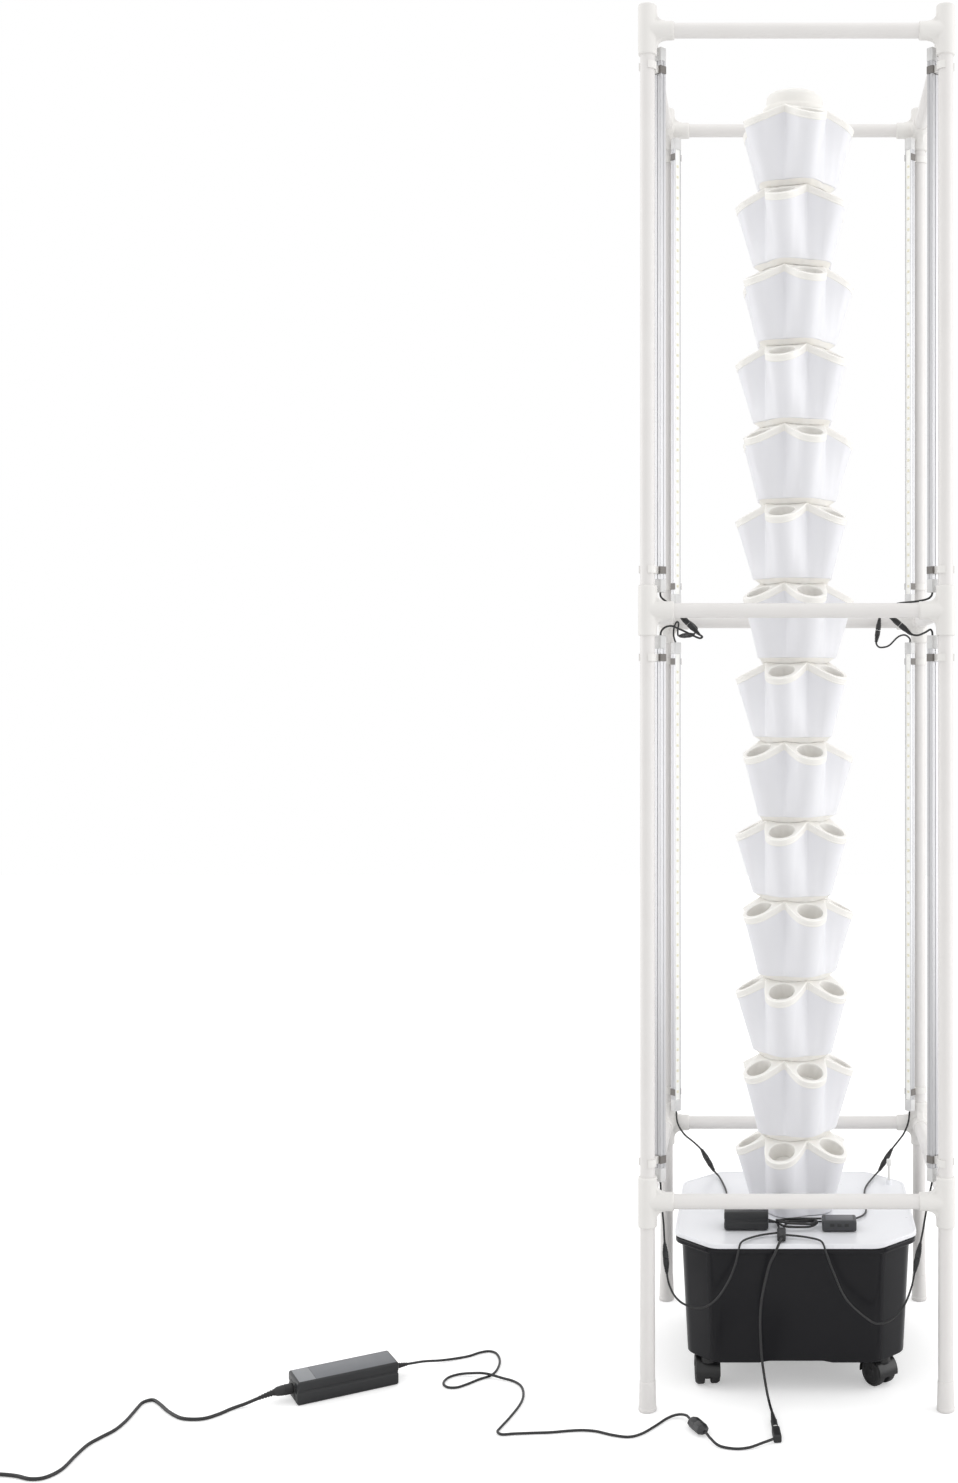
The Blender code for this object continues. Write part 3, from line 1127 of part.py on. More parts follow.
def build_harness(look):
    """The splitter: a hub on the lid, the trunk down to its jack, and a branch to each lower bar."""
    hub_bottom = LID_TOP + GAP
    place = Matrix.Translation((*HUB_CENTRE, hub_bottom + HUB_SIZE[2] / 2.0))
    steps = []
    points = smooth_route(TRUNK_ROUTE, TRUNK_RADIUS)
    total = line_length(points)
    taper_start = total - JACK_LENGTH - JACK_TAPER
    points = with_stops(points, [taper_start, total - JACK_LENGTH])
    radii = swelling(points, TRUNK_RADIUS, [(taper_start, total + JACK_TAPER, JACK_RADIUS, JACK_TAPER)])
    steps.append(("UNION", cord_mesh(points, TRUNK_RADIUS, radii, resolution=1)))
    print(f"trunk cord: length {total:.3f} m")
    half_connector = CONNECTOR_RADIUS * 5.0
    for route in (FRONT_LEFT_BRANCH, FRONT_RIGHT_BRANCH, BACK_LEFT_BRANCH, BACK_RIGHT_BRANCH):
        steps.append(("UNION", lead_with_connector(route, half_connector, at_end=False)))
    piece("splitter_harness", combined(box(HUB_SIZE, place, HUB_CORNER), steps), look)


def build_pump_adapter(look):
    """The pump's adapter on the lid, whose own lead is tied in a bundle before the timer."""
    body = standing_box(PUMP_ADAPTER_SIZE, PUMP_ADAPTER_CENTRE, LID_TOP + GAP, LID_BOX_CORNER)
    loops = flat_spiral(bundle_point, LID_LEAD_RADIUS, LID_LEAD_RADIUS * 2.6, BUNDLE_TURNS_IN,
                        BUNDLE_TURNS_OUT, LID_TOP + BUNDLE_LIFT)
    start, end = loops[0].copy(), loops[-1].copy()
    start.x = PUMP_ADAPTER_CENTRE[0] + PUMP_ADAPTER_SIZE[0] / 2.0 - LID_LEAD_RADIUS
    end.x = TIMER_CENTRE[0] - TIMER_SIZE[0] / 2.0 - GAP
    lead = [start] + loops + [end]
    print(f"lid bundle: least gap {least_gap(loops, LID_LEAD_RADIUS, 8) * 1000:.2f} mm, "
          f"length {line_length(lead):.3f} m")
    shape = cord_mesh(lead, LID_LEAD_RADIUS, resolution=1)
    piece("pump_adapter", combined(body, [("UNION", shape)]), look)


clear_scene()
tower = make_collection("hydroponic_tower")
cutters = make_collection("cutters")

white_pipe = material("white_pipe", (0.86, 0.85, 0.84), 0.35)
white_planter = material("white_planter", (0.88, 0.88, 0.89), 0.45)
white_lid = material("white_lid", (0.84, 0.85, 0.86), 0.40)
lamp_finish = material("lamp_finish", (0.80, 0.80, 0.80), 0.30, 0.2)
black_tank = material("black_tank", (0.012, 0.012, 0.014), 0.22)
black_housing = material("black_housing", (0.015, 0.015, 0.016), 0.40)
black_tread = material("black_tread", (0.020, 0.020, 0.021), 0.50)
pump_black = material("pump_black", (0.018, 0.018, 0.020), 0.45)
brick_black = material("brick_black", (0.030, 0.031, 0.033), 0.35)
timer_grey = material("timer_grey", (0.060, 0.062, 0.065), 0.45)
cord_black = material("cord_black", (0.014, 0.014, 0.015), 0.45)
pin_metal = material("pin_metal", (0.030, 0.030, 0.032), 0.45)
float_white = material("float_white", (0.86, 0.86, 0.85), 0.40)

build_frame(white_pipe)
build_lamps(lamp_finish)
build_planters(white_planter)
build_cap(white_planter)
build_tank(black_tank)
build_lid(white_lid)
build_float(float_white)
build_pump(pump_black, white_pipe)
build_casters(black_housing, black_tread)
build_boxes(brick_black, timer_grey)
build_mains(cord_black, pin_metal)
build_dc_cord(cord_black)
build_harness(cord_black)
build_pump_adapter(brick_black)
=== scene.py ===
"""Looks of a vertical hydroponic tower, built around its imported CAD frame.

Metres, +Z up, in the frame's own coordinates. -Y is the front.
"""
import math

import bmesh
import bpy
from mathutils import Matrix, Vector


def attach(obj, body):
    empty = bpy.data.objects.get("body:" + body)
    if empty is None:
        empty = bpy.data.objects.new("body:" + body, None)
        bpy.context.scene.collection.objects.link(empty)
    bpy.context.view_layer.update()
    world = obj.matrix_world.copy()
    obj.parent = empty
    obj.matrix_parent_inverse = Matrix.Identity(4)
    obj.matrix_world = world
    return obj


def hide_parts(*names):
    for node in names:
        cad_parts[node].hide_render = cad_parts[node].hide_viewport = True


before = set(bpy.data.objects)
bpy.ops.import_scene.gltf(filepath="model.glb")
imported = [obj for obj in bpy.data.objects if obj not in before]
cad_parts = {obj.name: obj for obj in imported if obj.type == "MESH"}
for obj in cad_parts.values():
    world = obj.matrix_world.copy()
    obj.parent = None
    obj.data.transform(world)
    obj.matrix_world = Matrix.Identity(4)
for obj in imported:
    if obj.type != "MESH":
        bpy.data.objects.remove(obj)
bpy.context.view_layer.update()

# The photograph's frame, in its own pixels, and where its camera stood
PHOTO_WIDTH = 958
PHOTO_HEIGHT = 1483
FOCAL_PIXELS = 1650.0
AXIS_PIXEL = (772.0, 685.0)
SENSOR = 36.0
CLIP_START = 0.05
CAMERA_PLACE = (-0.033, -2.414, 0.973)

# Studio: the floor, and each lamp's place, target, size and power
WHITE = (1.0, 1.0, 1.0, 1.0)
FLOOR_GREY = (0.82, 0.82, 0.82, 1.0)
FLOOR_ROUGHNESS = 0.9
FLOOR_HALF = 6.0
FLOOR_DROP = 0.0002
FLOOR_LIFT = 0.36
LAMPS = {
    "lamp_left": ((-2.8, 0.3, 1.3), (0.0, 0.0, 0.95), (1.2, 2.6), 15.0),
    "lamp_right": ((2.8, -0.3, 1.3), (0.0, 0.0, 0.95), (2.4, 2.6), 30.0),
    "lamp_top": ((0.0, -0.4, 3.4), (0.0, 0.0, 0.9), (2.4, 2.0), 8.0),
}

# Values that many pieces share
FULL_TURN = 2.0 * math.pi
QUARTER = math.pi / 2.0
WELD = 0.000001
GAP = 0.0003
STAND = "stand"
CURVE_SHARE = 0.45
CURVE_POINTS = 3
UPRIGHT_LIMIT = 0.05
ROUTE_STEPS = 10
CORD_BEVEL_STEPS = 4
FEW_POINTS = 2
MORE_POINTS = 4
SHARP_DEGREES = 35.0
RIB_SHARP_DEGREES = 30.0
PLANTER_SHARP_DEGREES = 24.0

# Boxes with rounded edges: the radius and the number of steps of each kind
BOX_EDGES = {
    "led": (0.0003, 1), "bar_cap": (0.0009, 3), "arm": (0.0008, 3), "web": (0.0012, 3), "hub": (0.0025, 4),
    "adapter_half": (0.0030, 4), "adapter_core": (0.0020, 3), "adapter_panel": (0.0003, 2),
    "inlet": (0.0015, 3), "pump_half": (0.0035, 4), "pump_core": (0.0025, 3), "timer": (0.0028, 4),
    "timer_panel": (0.0004, 2), "button": (0.0008, 3), "plug": (0.0030, 4), "plug_collar": (0.0015, 3),
    "pin": (0.0004, 2), "dc_plug": (0.0022, 4),
}

# Finishes
SCREEN_FOOT = 0.055
SCREEN_POWER = 2.4
PATCH_DETAIL = 3.0
SMEARS_PER_PATCH = 4.0
SMEAR_DETAIL = 5.0
GRAIN_DETAIL = 2.0
GLOSS_SPREAD = 0.06
SCATTER_DEPTH = 0.006
BUMP_STRENGTH = 0.5

# Pipe frame
FRAME_SPACING = 0.400
PIPE_RADIUS = 0.010
PIPE_SIDES = 40
SMALL_SIDES = 24
LEVELS = {"lower": 0.280, "middle": 1.073, "upper": 1.851}
BARREL_RADIUS = 0.0128
BARREL_HALF_HEIGHT = 0.034
SOCKET_RADIUS = 0.0124
SOCKET_REACH = 0.036
RAIL_ENTRY = 0.010
FITTING_ROUND = 0.0008
FITTING_TOP_ROUND = 0.0022
FITTING_VOXEL = 0.0011
FITTING_SIDES = 48
FITTING_SOFTENING = 0.5
FITTING_SOFTENING_TIMES = 6
GUSSET_REACH = 0.0105
GUSSET_WIDTH = 0.011
GUSSET_ROOT = 0.004
GUSSET_STEPS = 6
PIPE_BOTTOM = 0.002
FOOT_RADIUS = 0.0122
FOOT_HEIGHT = 0.040
FOOT_ROUND = 0.0012
FOOT_TOP_CENTRE = 0.030
FOOT_PROFILE = [
    (0.0, 0.0), (FOOT_RADIUS, 0.0), (FOOT_RADIUS, 0.0045), (FOOT_RADIUS - 0.0006, 0.0055),
    (PIPE_RADIUS + 0.0007, FOOT_HEIGHT), (PIPE_RADIUS - 0.0005, FOOT_HEIGHT),
]
CORNERS = {
    "front_left": (-1.0, -1.0), "front_right": (1.0, -1.0),
    "back_left": (-1.0, 1.0), "back_right": (1.0, 1.0),
}
RAIL_SIDES = {
    "front": (0.0, -1.0, "Y"), "back": (0.0, 1.0, "Y"), "left": (-1.0, 0.0, "X"), "right": (1.0, 0.0, "X"),
}
CORNER_QUARTERS = {"front_left": 0, "front_right": 1, "back_right": 2, "back_left": 3}

# Lamp bars
BAR_INSET = 0.016
BAR_WIDTH = 0.0120
BAR_DEPTH = 0.0090
BAR_WALL = 0.0011
BAR_GROOVE = 0.0016
BAR_END = 0.002
BAR_CAP_LENGTH = 0.018
BAR_CAP_WALL = 0.0006
BARS = {"upper": (1.098, 1.833), "lower": (0.303, 1.040)}
SIDE_GROOVE_HALF = 0.0012
SIDE_GROOVE_DEPTH = 0.0005
BACK_GROOVE_DEPTH = 0.0006
BOARD_RECESS = 0.0009
LED_SIZE = 0.0038
LED_HEIGHT = 0.0010
LED_RECESS = 0.0007
LED_SPACING = 0.0165
LED_START_SHARE = 0.75
CLIP_FROM_END = 0.030
CLIP_HEIGHT = 0.010
CLIP_PLAY = 0.0002
CLIP_REACH = 0.0020
CLIP_BAND_WALL = 0.0011
CLIP_ARM_SINK = 0.0006
CLIP_ARM_WIDTH = 0.006
CLIP_MOUTH_HALF = math.radians(52.0)
CLIP_STEPS = 28

# Planter modules, with rows as (height, inset) at the bottom and (down from the rim, reach) at the lip
MODULE_COUNT = 14
POT_COUNT = 5
POT_HALF_ANGLE = math.pi / POT_COUNT
MODULE_PITCH = 0.1143
FIRST_POT_AZIMUTH = math.radians(-107.0)
POT_LEAN = math.radians(17.1)
RIM_LEAN = math.radians(27.0)
RIM_CENTRE_RADIUS = 0.065
RIM_HEIGHT = 0.096
POT_RADIUS = 0.024
PLANTER_WALL = 0.0025
MOUTH_RADIUS = 0.0188
MOUTH_ROUND = 0.0012
MOUTH_STEPS = 4
VALLEY_RADIUS = 0.052
VALLEY_ROUND = 0.0030
VALLEY_SHARES = (0.0, 0.17, 0.34, 0.5)
VALLEY_OFFSET_SHARE = 1.25
NECK_RADIUS = 0.0462
SPIGOT_RADIUS = 0.037
SPIGOT_HEIGHT = 0.006
DECK_THICKNESS = 0.003
DECK_HOLE_RADIUS = 0.016
POT_FLOOR = 0.003
LIP_HEIGHT = 0.0100
LIP_REACH = 0.0006
BEAD_REACH = 0.0010
BOTTOM_ROWS = [(0.0, 0.0020), (0.0002, 0.0011), (0.0007, 0.0004), (0.0018, 0.0)]
LIP_ROWS = [
    (LIP_HEIGHT, 0.0), (LIP_HEIGHT - 0.0003, LIP_REACH), (LIP_HEIGHT - 0.0009, BEAD_REACH),
    (LIP_HEIGHT - 0.0017, BEAD_REACH), (LIP_HEIGHT - 0.0024, LIP_REACH), (0.0024, LIP_REACH),
    (0.0018, BEAD_REACH), (0.0009, BEAD_REACH), (0.0004, BEAD_REACH - 0.0003),
    (0.0001, BEAD_REACH - 0.0008), (0.0, BEAD_REACH - 0.0013),
]
CUP_DEPTH = 0.022
CUP_TAPER = 0.0015
CUP_WALL = 0.0011
CUP_RADIUS = MOUTH_RADIUS + CUP_WALL
CUP_HOLE_RADIUS = 0.0035
TUCK_RADIUS = 0.0478
TUCK_DEPTH = 0.0072
LOBE_STEPS = 11
WEB_STEPS = 3
WEB_BULGE = 0.0010
WALL_ROWS = 8
NECK_STEPS = 8
THIRDS = (1.0 / 3.0, 2.0 / 3.0)

# Cap
CAP_RADIUS = 0.0415
CAP_HEIGHT = 0.022
CAP_WALL = 0.0025
CAP_ROUND = 0.018
CAP_STEPS = 10
CAP_RIM = 0.004
CAP_RIM_ROUND = 0.0008
CAP_INSIDE = 0.006
CAP_INSIDE_ROUND = 0.008
CAP_SIDES = 64

# Tank and lid
TANK_BOTTOM = 0.043
TANK_TOP_HALF = 0.159
TANK_CORNER = 0.044
TANK_ROUND = 0.0022
TANK_PROFILE = [
    (0.020, TANK_BOTTOM), (0.127, TANK_BOTTOM), (0.133, TANK_BOTTOM), (0.151, TANK_BOTTOM),
    (TANK_TOP_HALF, 0.1975), (0.1675, 0.1975), (0.1675, 0.2050), (0.156, 0.2050), (0.148, 0.046),
    (0.130, 0.046), (0.124, 0.046), (0.020, 0.046),
]
CORNER_ROUND = 0.012
CORNER_STEPS = 5
CUT_LIMIT = 0.9
NOTCH_HEIGHT = 0.0024
NOTCH_FROM = 0.129
NOTCH_BELOW = 0.049
NOTCH_INNER = 0.037
NOTCH_OUTER = 0.050
NOTCH_INNER_LIMIT = 0.6
NOTCH_OUTER_LIMIT = 0.8
LID_HALF = 0.169
LID_CORNER = 0.054
LID_TOP = 0.2117
LID_PLATE_TOP = 0.2110
LID_ROUND = 0.0016
LID_PROFILE = [
    (0.040, 0.2053), (0.152, 0.2053), (0.152, 0.1993), (0.154, 0.1993), (0.154, 0.2053), (LID_HALF, 0.2053),
    (LID_HALF, LID_TOP), (0.1655, LID_TOP), (0.1645, LID_PLATE_TOP), (0.040, LID_PLATE_TOP),
]
LID_HOLE_RADIUS = 0.026
SPIGOT_TOP = LID_TOP + SPIGOT_HEIGHT
SPIGOT_ROUND = 0.0004
SPIGOT_PROFILE = [
    (LID_HOLE_RADIUS, LID_PLATE_TOP), (SPIGOT_RADIUS, LID_PLATE_TOP), (SPIGOT_RADIUS, SPIGOT_TOP),
    (LID_HOLE_RADIUS, SPIGOT_TOP),
]
SLEEVE_ROUND = 0.0005
SLEEVE_SIDES = 28

# Level float, with the buoy's radius, bottom and top
FLOAT_PLACE = (0.1455, 0.1055)
FLOAT_BUOY_PLACE = (0.135, 0.095)
FLOAT_ROD_PROFILE = [
    (0.0, 0.132), (0.0020, 0.132), (0.0020, 0.2385), (0.0036, 0.2395), (0.0036, 0.249), (0.0, 0.249),
]
SLEEVE_PROFILE = [(0.0023, 0.0), (0.0058, 0.0), (0.0045, 0.0012), (0.0045, 0.0067), (0.0023, 0.0067)]
BUOY = (0.010, 0.105, 0.135)
BUOY_SIDES = 32
BUOY_ROUND = 0.003
FLOAT_ROUND = 0.0010
FLOAT_ARM_OVERLAP = 0.002
FLOAT_ARM_HEIGHT = 0.1335
FLOAT_ARM_SIZE = 0.003

# Casters, with the wheels' profile as (radius, distance from the middle)
CASTER_OFFSET = 0.122
CASTER_TRAIL = 0.010
CASTER_TURNS_SHARES = {"front_left": 0.02, "front_right": 0.11, "back_left": 0.30, "back_right": -0.17}
WHEEL_RADIUS = 0.0190
WHEEL_ROUND = 0.0011
WHEEL_SIDES = 44
WHEEL_PROFILE = [
    (0.0, 0.0043), (0.0184, 0.0043), (WHEEL_RADIUS, 0.0073), (WHEEL_RADIUS, 0.0133), (0.0165, 0.0168),
    (0.0145, 0.0168), (0.0138, 0.0154), (0.0062, 0.0154), (0.0056, 0.0166), (0.0, 0.0166),
]
AXLE = Matrix.Translation((0.0, CASTER_TRAIL, WHEEL_RADIUS))
AXLE_RADIUS = 0.0030
AXLE_HALF = 0.0053
AXLE_SIDES = 20
WEB_SIZE = (0.0080, 0.026, 0.029)
WEB_RISE = 0.0055
COLLAR_ROUND = 0.0008
COLLAR_SIDES = 32
COLLAR_PROFILE = [
    (0.0, 0.034), (0.0100, 0.034), (0.0088, 0.0405), (0.0088, TANK_BOTTOM - GAP), (0.0, TANK_BOTTOM - GAP),
]
# Radius, bottom and top of the stem
STEM = (0.0050, 0.040, 0.059)
HOOD_INNER = 0.0200
HOOD_OUTER = 0.0215
HOOD_HALF_WIDTH = 0.0168
HOOD_BELOW_AXLE = math.radians(8.0)
HOOD_STEPS = 30
HOOD_ROUND = 0.0010

# Adapters, timer and hub
FLOOR_ADAPTER_SIZE = (0.140, 0.051, 0.031)
FLOOR_ADAPTER_CENTRE = (-0.6250, -0.1320)
FLOOR_ADAPTER_TURN = math.radians(30.3)
ADAPTER_SPLIT_SHARE = 0.55
ADAPTER_GROOVE = 0.0005
ADAPTER_CORE_SIZE = (0.1384, 0.0494, 0.023)
ADAPTER_PANEL_SIZE = (0.111, 0.045, 0.0006)
ADAPTER_PANEL_X = 0.0115
ADAPTER_END_SIZE = (0.0225, 0.045, 0.0006)
ADAPTER_END_X = -0.0555
PANEL_SINK = 0.0001
INLET_SIZE = (0.004, 0.024, 0.019)
INLET_REACH = 0.0012
PUMP_ADAPTER_SIZE = (0.062, 0.038, 0.026)
PUMP_ADAPTER_CENTRE = (-0.069, -0.094)
PUMP_ADAPTER_CORE_SIZE = (0.0606, 0.0366, 0.018)
TIMER_SIZE = (0.048, 0.030, 0.015)
TIMER_CENTRE = (0.061, -0.103)
TIMER_PANEL_SIZE = (0.038, 0.022, 0.0008)
BUTTON_SIZE = (0.0062, 0.0020, 0.0045)
BUTTON_XS = (-0.010, 0.0, 0.010)
BUTTON_SINK = 0.0004
BUTTON_RISE = 0.0015
HUB_SIZE = (0.0120, 0.0350, 0.0090)
HUB_CENTRE = (-0.0200, -0.1425)
DC_PLUG_SIZE = (0.0105, 0.030, 0.0100)
DC_PLUG_CENTRE = (-0.0270, -0.2830)
DC_PLUG_TURN = math.radians(5.5)
MAINS_PLUG_SIZE = (0.020, 0.032, 0.013)
PIN_SIZE = (0.0063, 0.0160, 0.0015)
PIN_SPACING = 0.0127
PLUG_COLLAR_SIZE = (0.016, 0.006, 0.010)
PLUG_COLLAR_SINK = 0.0008

# Cords
MAINS_RADIUS = 0.0023
DC_RADIUS = 0.0017
LEAD_RADIUS = 0.0014
TRUNK_RADIUS = 0.0018
LID_LEAD_RADIUS = 0.0016
CONNECTOR_FRONT = [(0.0, 0.0036), (0.0004, 0.0040), (0.0075, 0.0040), (0.0082, 0.0036)]
CONNECTOR_SIDES = 16
CONNECTOR_RIBS = 5
CONNECTOR_RIB = [(0.0002, 0.0003), (0.0012, 0.0002), (0.0014, -0.0004)]
CONNECTOR_RIB_STEP = 0.0022
CONNECTOR_RIB_TAPER = 0.00032
CONNECTOR_RIB_DIP = 0.0001
CONNECTOR_TAIL = [(0.0205, LEAD_RADIUS + 0.0003), (0.0215, LEAD_RADIUS)]
RIB_LAND = 0.55
RIB_NECK = 0.86
RIB_NECK_SHARES = (0.62, 0.93)
RELIEF_WALL = 0.0002
COIL_RADIUS = 5.5 * 2.0 * MAINS_RADIUS
COIL_PITCH_IN_CORDS = 2.6
COIL_TURNS_IN = 1.5
COIL_TURNS_OUT = 1.25
COIL_CLIMB = 0.5
COIL_POINTS = 40
PLUG_BEND_IN_CORDS = 6.0
PLUG_LEAD_IN_CORDS = 4.0
COIL_CENTRE_X = -1.0420
BUNDLE_CENTRE = (0.0020, -0.1030)
BUNDLE_RUN = 0.0350
BUNDLE_END_RADIUS = 0.0105
BUNDLE_TURNS = 0.75
BUNDLE_END_POWER = 1.0 / 3.0
BUNDLE_LIFT = 0.0037
BUNDLE_WAVE = 0.0016
BUNDLE_SWAY = 0.0014
BUNDLE_WAVE_STEP = 0.33
BUNDLE_SWAY_STEP = 0.21
FERRITE_LENGTH = 0.0401
FERRITE_GROOVE_RADIUS = 0.0089
FERRITE_SIDES = 8
FERRITE_FLATNESS = 0.76
FERRITE_HALF_SHAPE = [
    (0.0, 0.0034), (0.0010, 0.0050), (0.0065, 0.0088), (0.0075, 0.0090),
    (FERRITE_LENGTH / 2.0 - 0.0003, 0.0091),
]
JACK_LENGTH = 0.024
JACK_RIBS = 7
JACK_RELIEF_RADIUS = 0.0040
JACK_SHAPE = [(0.0236, 0.0044), (0.0024, 0.0043), (0.0022, 0.0036)]
JACK_RING_SHAPE = [(0.0023, 0.0034), (0.0022, 0.0044), (0.0004, 0.0044), (0.0001, 0.0041)]
RELIEF_SIDES = 20
MAINS_CONNECTOR_FLATNESS = 0.85
MAINS_RELIEF = (0.0235, 0.0460, 0.0044)
DC_RELIEF = (0.0, 0.0200, 0.0045)
RELIEF_RIBS = 6
MAINS_CONNECTOR_SHAPE = [
    (0.0, 0.0060), (0.0006, 0.0080), (0.0100, 0.0082), (0.0102, 0.0076), (0.0118, 0.0076), (0.0120, 0.0080),
    (0.0200, 0.0070), (0.0240, 0.0050),
]

# Routes of the cords, given point by point, on the floor, on the lid and in the air between
MAINS_ROUTE = [
    (-0.6863, -0.1678, 0.0155), (-0.7062, -0.1794, 0.0154), (-0.726, -0.189, 0.011),
    (-0.743, -0.191, 0.0045), (-0.757, -0.2, 0.0025), (-0.769, -0.217, 0.0025), (-0.783, -0.23, 0.0025),
    (-0.8, -0.233, 0.0025), (-0.818, -0.228, 0.0025), (-0.84, -0.209, 0.0025), (-0.86, -0.186, 0.0025),
    (-0.874, -0.174, 0.0025), (-0.884, -0.182, 0.0025), (-0.885, -0.2, 0.0025), (-0.885, -0.236, 0.0025),
    (-0.889, -0.264, 0.0025), (-0.899, -0.286, 0.0025), (-0.907, -0.306, 0.0025), (-0.91, -0.335, 0.0025),
    (-0.912, -0.372, 0.0025), (-0.923, -0.393, 0.0025), (-0.94, -0.397, 0.0025), (-0.961, -0.389, 0.0025),
    (-0.985, -0.385, 0.0026), (-1.008, -0.385, 0.0026),
]
DC_ROUTE = [
    (-0.5638, -0.0962, 0.0155), (-0.5538, -0.0904, 0.0155), (-0.543, -0.08, 0.0135),
    (-0.529, -0.061, 0.0085), (-0.509, -0.0455, 0.0035), (-0.489, -0.035, 0.002), (-0.471, -0.026, 0.002),
    (-0.458, -0.014, 0.002), (-0.445, -0.009, 0.002), (-0.433, -0.018, 0.002), (-0.424, -0.044, 0.002),
    (-0.423, -0.074, 0.002), (-0.429, -0.094, 0.002), (-0.443, -0.107, 0.002), (-0.457, -0.123, 0.002),
    (-0.469, -0.133, 0.002), (-0.482, -0.132, 0.002), (-0.49, -0.119, 0.002), (-0.487, -0.101, 0.002),
    (-0.474, -0.09, 0.0022), (-0.455, -0.092, 0.0046), (-0.435, -0.098, 0.0066), (-0.411, -0.105, 0.0034),
    (-0.393, -0.113, 0.002), (-0.38, -0.13, 0.002), (-0.373, -0.157, 0.002), (-0.373, -0.186, 0.002),
    (-0.38, -0.224, 0.002), (-0.388, -0.256, 0.002), (-0.39, -0.268, 0.002), (-0.383, -0.276, 0.002),
    (-0.368, -0.274, 0.002), (-0.345, -0.272, 0.002), (-0.32, -0.27, 0.002), (-0.299, -0.266, 0.002),
    (-0.281, -0.264, 0.002), (-0.262, -0.267, 0.002), (-0.239, -0.278, 0.002), (-0.218, -0.283, 0.002),
    (-0.202, -0.274, 0.002), (-0.186, -0.252, 0.002), (-0.172, -0.23, 0.0022), (-0.159, -0.224, 0.0045),
    (-0.147, -0.2325, 0.0076), (-0.1394, -0.2465, 0.0078), (-0.1196, -0.2814, 0.0078),
    (-0.112, -0.296, 0.006), (-0.1, -0.309, 0.0024), (-0.08, -0.316, 0.002), (-0.062, -0.314, 0.0026),
    (-0.045, -0.306, 0.0048), (-0.03, -0.296, 0.0056),
]
FERRITE_START = (-0.1394, -0.2465, 0.0078)
TRUNK_ROUTE = [
    (-0.02, -0.158, 0.2172), (-0.0208, -0.165, 0.2172), (-0.024, -0.1725, 0.213), (-0.029, -0.1765, 0.202),
    (-0.036, -0.1775, 0.188), (-0.042, -0.177, 0.165), (-0.047, -0.1765, 0.14), (-0.049, -0.1765, 0.114),
    (-0.0485, -0.1765, 0.089), (-0.047, -0.177, 0.063), (-0.044, -0.178, 0.04), (-0.0405, -0.181, 0.02),
    (-0.0375, -0.189, 0.009), (-0.035, -0.204, 0.0058), (-0.0328, -0.22, 0.0052),
    (-0.0286, -0.2676, 0.0052),
]
LOWER_BAR_TAILS = {
    "front_left": [
        (-0.184, -0.184, 0.305), (-0.1825, -0.182, 0.275), (-0.18, -0.179, 0.245),
        (-0.1785, -0.178, 0.2164), (-0.1778, -0.178, 0.2065), (-0.177, -0.178, 0.1968),
    ],
    "front_right": [
        (0.184, -0.184, 0.305), (0.179, -0.181, 0.278), (0.1742, -0.1782, 0.25), (0.1714, -0.178, 0.233),
        (0.1681, -0.178, 0.2166), (0.1661, -0.178, 0.2068), (0.1643, -0.178, 0.1973),
    ],
    "back_left": [
        (-0.184, 0.184, 0.305), (-0.1815, 0.182, 0.284), (-0.171, 0.177, 0.268), (-0.156, 0.1715, 0.257),
        (-0.1435, 0.1656, 0.2469), (-0.1382, 0.1608, 0.2398), (-0.1332, 0.1561, 0.233),
    ],
    "back_right": [
        (0.184, 0.184, 0.305), (0.1815, 0.183, 0.285), (0.1745, 0.179, 0.269), (0.166, 0.174, 0.259),
        (0.1548, 0.167, 0.2474), (0.1494, 0.1628, 0.2401), (0.1442, 0.1586, 0.233),
    ],
}
UPPER_BAR_TAILS = {
    "front_left": [
        (-0.184, -0.184, 1.1), (-0.183, -0.183, 1.092), (-0.174, -0.179, 1.084), (-0.1605, -0.1755, 1.0705),
        (-0.1534, -0.175, 1.0634), (-0.1464, -0.175, 1.0564),
    ],
    "front_right": [
        (0.184, -0.184, 1.1), (0.1825, -0.183, 1.0935), (0.176, -0.1805, 1.089), (0.16, -0.177, 1.086),
        (0.14, -0.1755, 1.084), (0.123, -0.175, 1.079), (0.119, -0.175, 1.073), (0.1254, -0.175, 1.0677),
        (0.133, -0.175, 1.0613), (0.1405, -0.175, 1.0551),
    ],
    "back_left": [
        (-0.184, 0.184, 1.1), (-0.1835, 0.183, 1.09), (-0.179, 0.176, 1.082), (-0.169, 0.163, 1.076),
        (-0.157, 0.148, 1.069), (-0.149, 0.139, 1.06), (-0.154, 0.1455, 1.052), (-0.16, 0.1535, 1.0508),
        (-0.1658, 0.1613, 1.0505),
    ],
    "back_right": [
        (0.184, 0.184, 1.1), (0.183, 0.183, 1.094), (0.174, 0.179, 1.09), (0.16, 0.1765, 1.091),
        (0.146, 0.1752, 1.0925), (0.138, 0.175, 1.088), (0.1361, 0.175, 1.079), (0.1347, 0.175, 1.069),
        (0.1334, 0.175, 1.0592),
    ],
}
